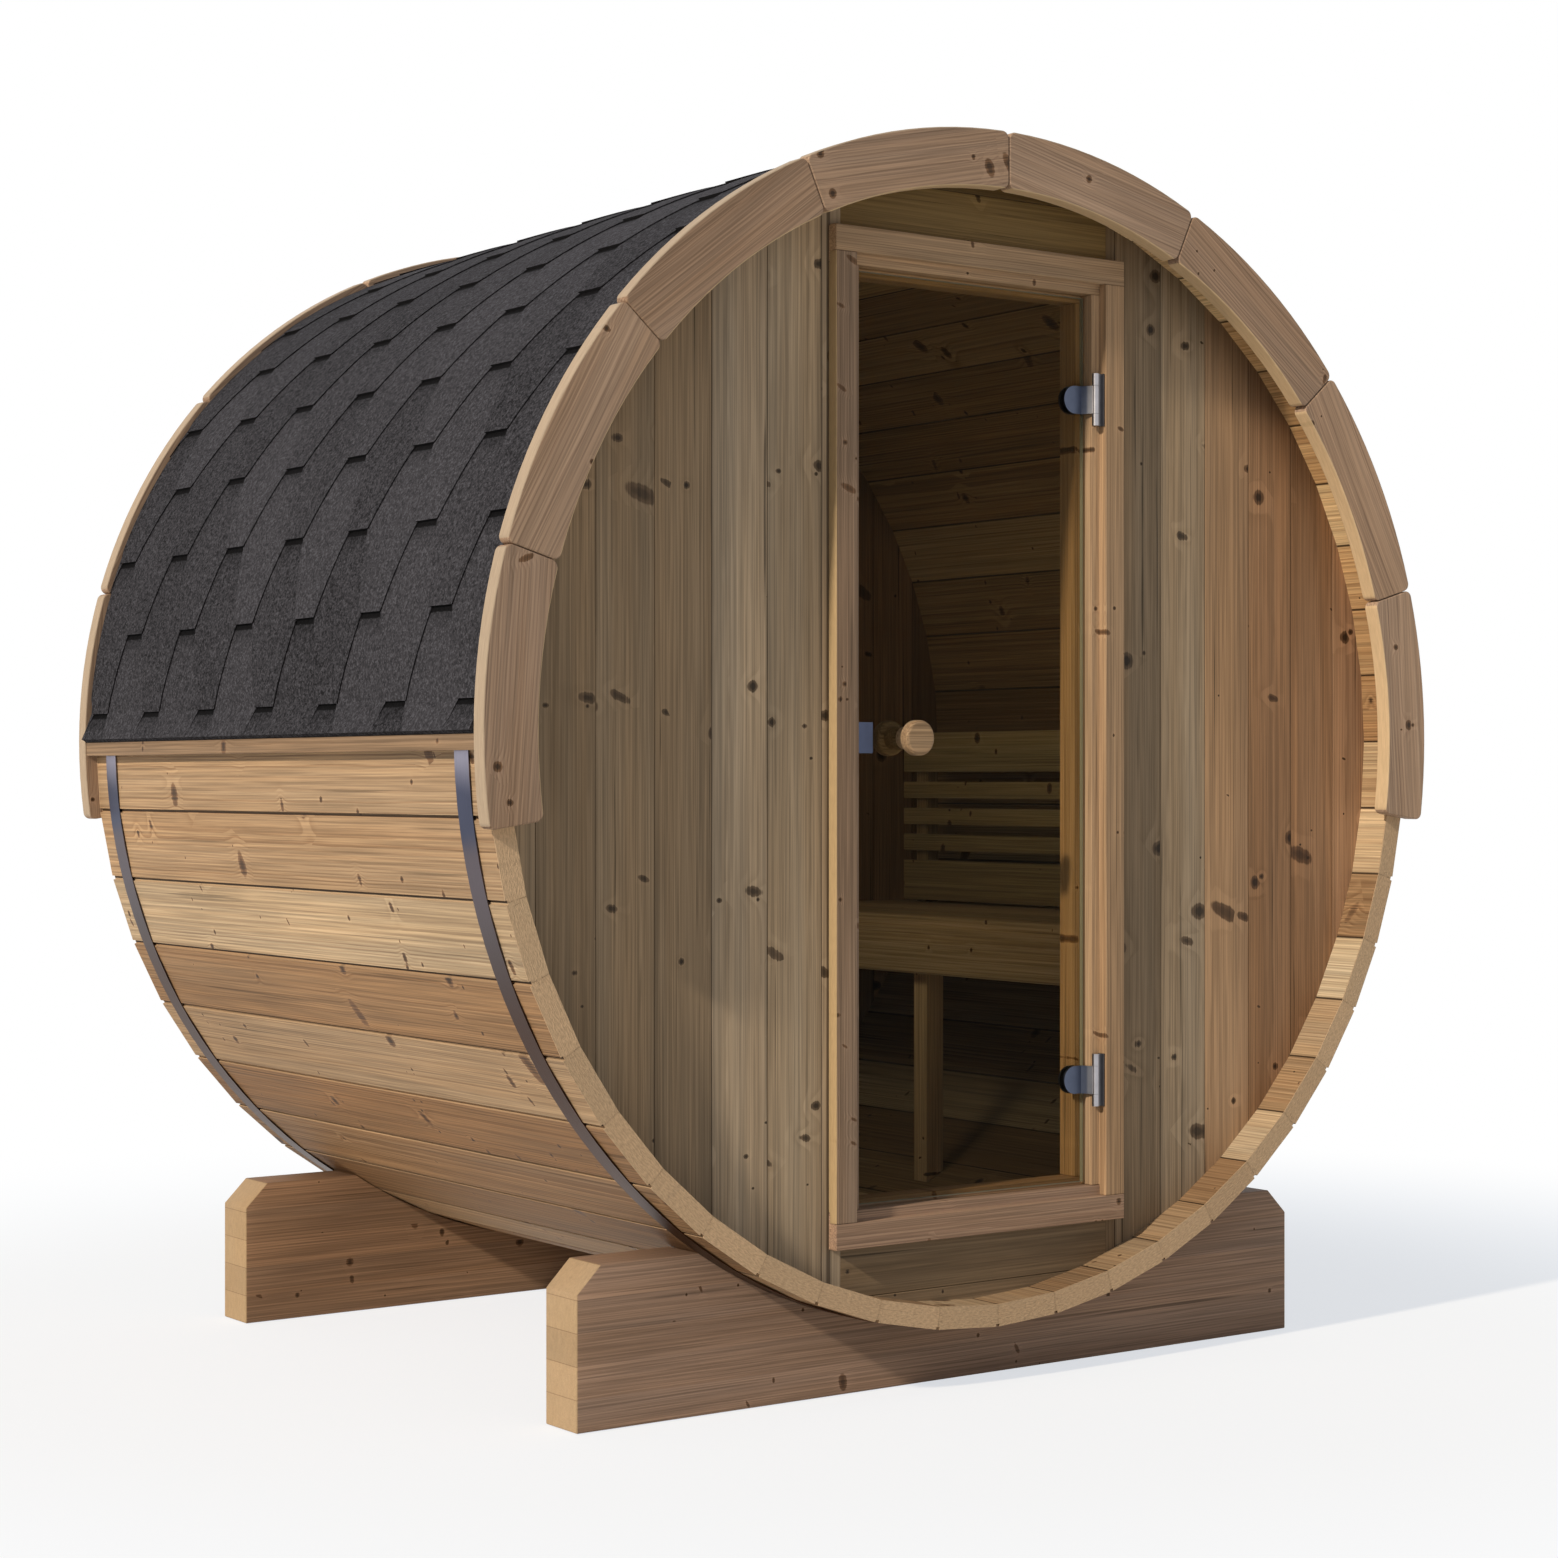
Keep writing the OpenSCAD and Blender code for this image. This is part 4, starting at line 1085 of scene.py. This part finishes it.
def dress_door():
    """Frame, glass, hinges, catch and knobs."""
    left_post = left_post_finish("door_post_left", SHADED_FRAME)
    eased_copy("door_post_left", FRAME_EASE, left_post)
    frame_boards = (("door_post_right", 2, FRAME_TIMBER), ("door_head", 0, FRAME_TIMBER),
                    ("door_sill", 0, SILL_TIMBER))
    for node, grain, timber in frame_boards:
        eased_copy(node, FRAME_EASE, plank_finish(node, grain, 1, timber))
    paint("door_glass", glass_finish())
    paint("hinge_clamps", metal_finish("hinge_satin", CLAMP_SATIN))
    paint("catch_plate", metal_finish("catch_satin", CATCH_SATIN))
    paint("hinge_leaves", metal_finish("hinge_dark", LEAF_DARK))
    for node, timber in (("outer_knob", KNOB_TIMBER), ("inner_knob", DUSKY_KNOB)):
        paint(node, plank_finish(node, 0, 1, timber))


def dress_room():
    """Bench, backrest and floor."""
    seat_rows = row_pitch("bench_seat", 0, 5, 0.010)
    floor_rows = row_pitch("floor_boards", 0, 6, 0.010)
    slat_rows = row_pitch("backrest_slats", 2, 5, 0.021)
    bays = (1, 0.4)
    boards = (("bench_seat", 1, 2, INNER_TIMBER, seat_rows), ("bench_bearers", 0, 2, INNER_TIMBER, bays),
              ("backrest_slats", 1, 0, SLAT_TIMBER, slat_rows),
              ("backrest_uprights", 2, 0, INNER_TIMBER, bays),
              ("floor_boards", 1, 2, INNER_TIMBER, floor_rows), ("floor_bearers", 0, 2, INNER_TIMBER, bays),
              ("bench_fascia", 1, 0, FASCIA_PAINTED_LIGHT, None), ("bench_post", 2, 0, POST_PAINTED_LIGHT, None))
    for node, grain, face, timber, rows in boards:
        eased_copy(node, INNER_EASE, plank_finish(node, grain, face, timber, rows))


def seen_rays(graph):
    """1 for the rays that show the backdrop itself: camera, mirror and glass rays."""
    camera = graph.node("ShaderNodeLightPath", output="Is Camera Ray")
    glossy = camera.other("Is Glossy Ray")
    return graph.math("MAXIMUM", camera, graph.math("MAXIMUM", glossy, camera.other("Is Transmission Ray")))


def studio():
    """Pale floor that fades to white, an even white surround, a warm key from the left and a faint lamp in
    the room."""
    bpy.ops.mesh.primitive_plane_add(size=120.0, location=(0.0, 0.0, -0.001))
    floor = bpy.context.object
    floor.name = "studio_floor"
    f = Finish("studio_floor")
    away = f.step(f.length(f.x, f.y), *FLOOR_FADE)
    matt = f.node("ShaderNodeBsdfDiffuse", None, {"Color": (0.84, 0.83, 0.80)})
    pale = f.mix(away, (1.04, 1.08, 1.14), (1.0, 1.0, 1.0))
    white = f.node("ShaderNodeEmission", None, {"Color": pale, "Strength": 1.0})
    shown = (away * (1 - FLOOR_WHITE) + FLOOR_WHITE) * seen_rays(f)
    f.output(f.node("ShaderNodeMixShader", None, {0: shown, 1: matt, 2: white}))
    floor.data.materials.append(f.material)

    world = bpy.data.worlds.new("studio")
    world.use_nodes = True
    bpy.context.scene.world = world
    w = Graph(world.node_tree)
    w.tree.nodes.clear()
    fill = w.node("ShaderNodeBackground", None, {"Color": (0.96, 0.98, 1.0), "Strength": 0.33})
    white = w.node("ShaderNodeBackground", None, {"Color": (1.0, 1.0, 1.0), "Strength": 1.0})
    shown = w.node("ShaderNodeMixShader", None, {0: seen_rays(w), 1: fill, 2: white})
    w.node("ShaderNodeOutputWorld", None, {"Surface": shown})

    key = add_lamp("key", "SUN", Vector((-5.18, -1.0, 3.16)), Vector())
    key.angle = math.radians(2.3)
    key.color = (1.0, 0.87, 0.69)
    key.energy = 1.08 * math.pi

    room = add_lamp("room", "AREA", Vector((-0.55, 0.0, 1.45)), Vector((0.55, 0.0, 0.80)))
    room.size = 0.4
    room.spread = math.radians(110)
    room.color = (1.0, 0.94, 0.72)
    room.energy = 0.8


def add_lamp(name, kind, place, target):
    """A light that faces a target. It lights what it reaches and isn't seen itself."""
    light = bpy.data.lights.new(name, kind)
    lamp = link(name, light)
    lamp.location = place
    lamp.rotation_euler = (place - target).to_track_quat("Z", "Y").to_euler()
    lamp.visible_camera = False
    return light


def photo_camera():
    """Camera at the photograph's place, looking level along its heading."""
    heading = 0.624
    data = bpy.data.cameras.new("camera")
    data.sensor_width = 36.0
    data.lens = 69.31
    data.clip_end = 300.0
    camera = link("camera", data)
    camera.location = (-3.2736, -4.6438, 1.0289)
    camera.rotation_euler = (math.pi / 2, 0.0, -heading)
    bpy.context.scene.camera = camera


bpy.context.scene.view_settings.view_transform = "Standard"
photo_camera()
studio()
dress_barrel()
dress_roof()
dress_walls()
dress_door()
dress_room()
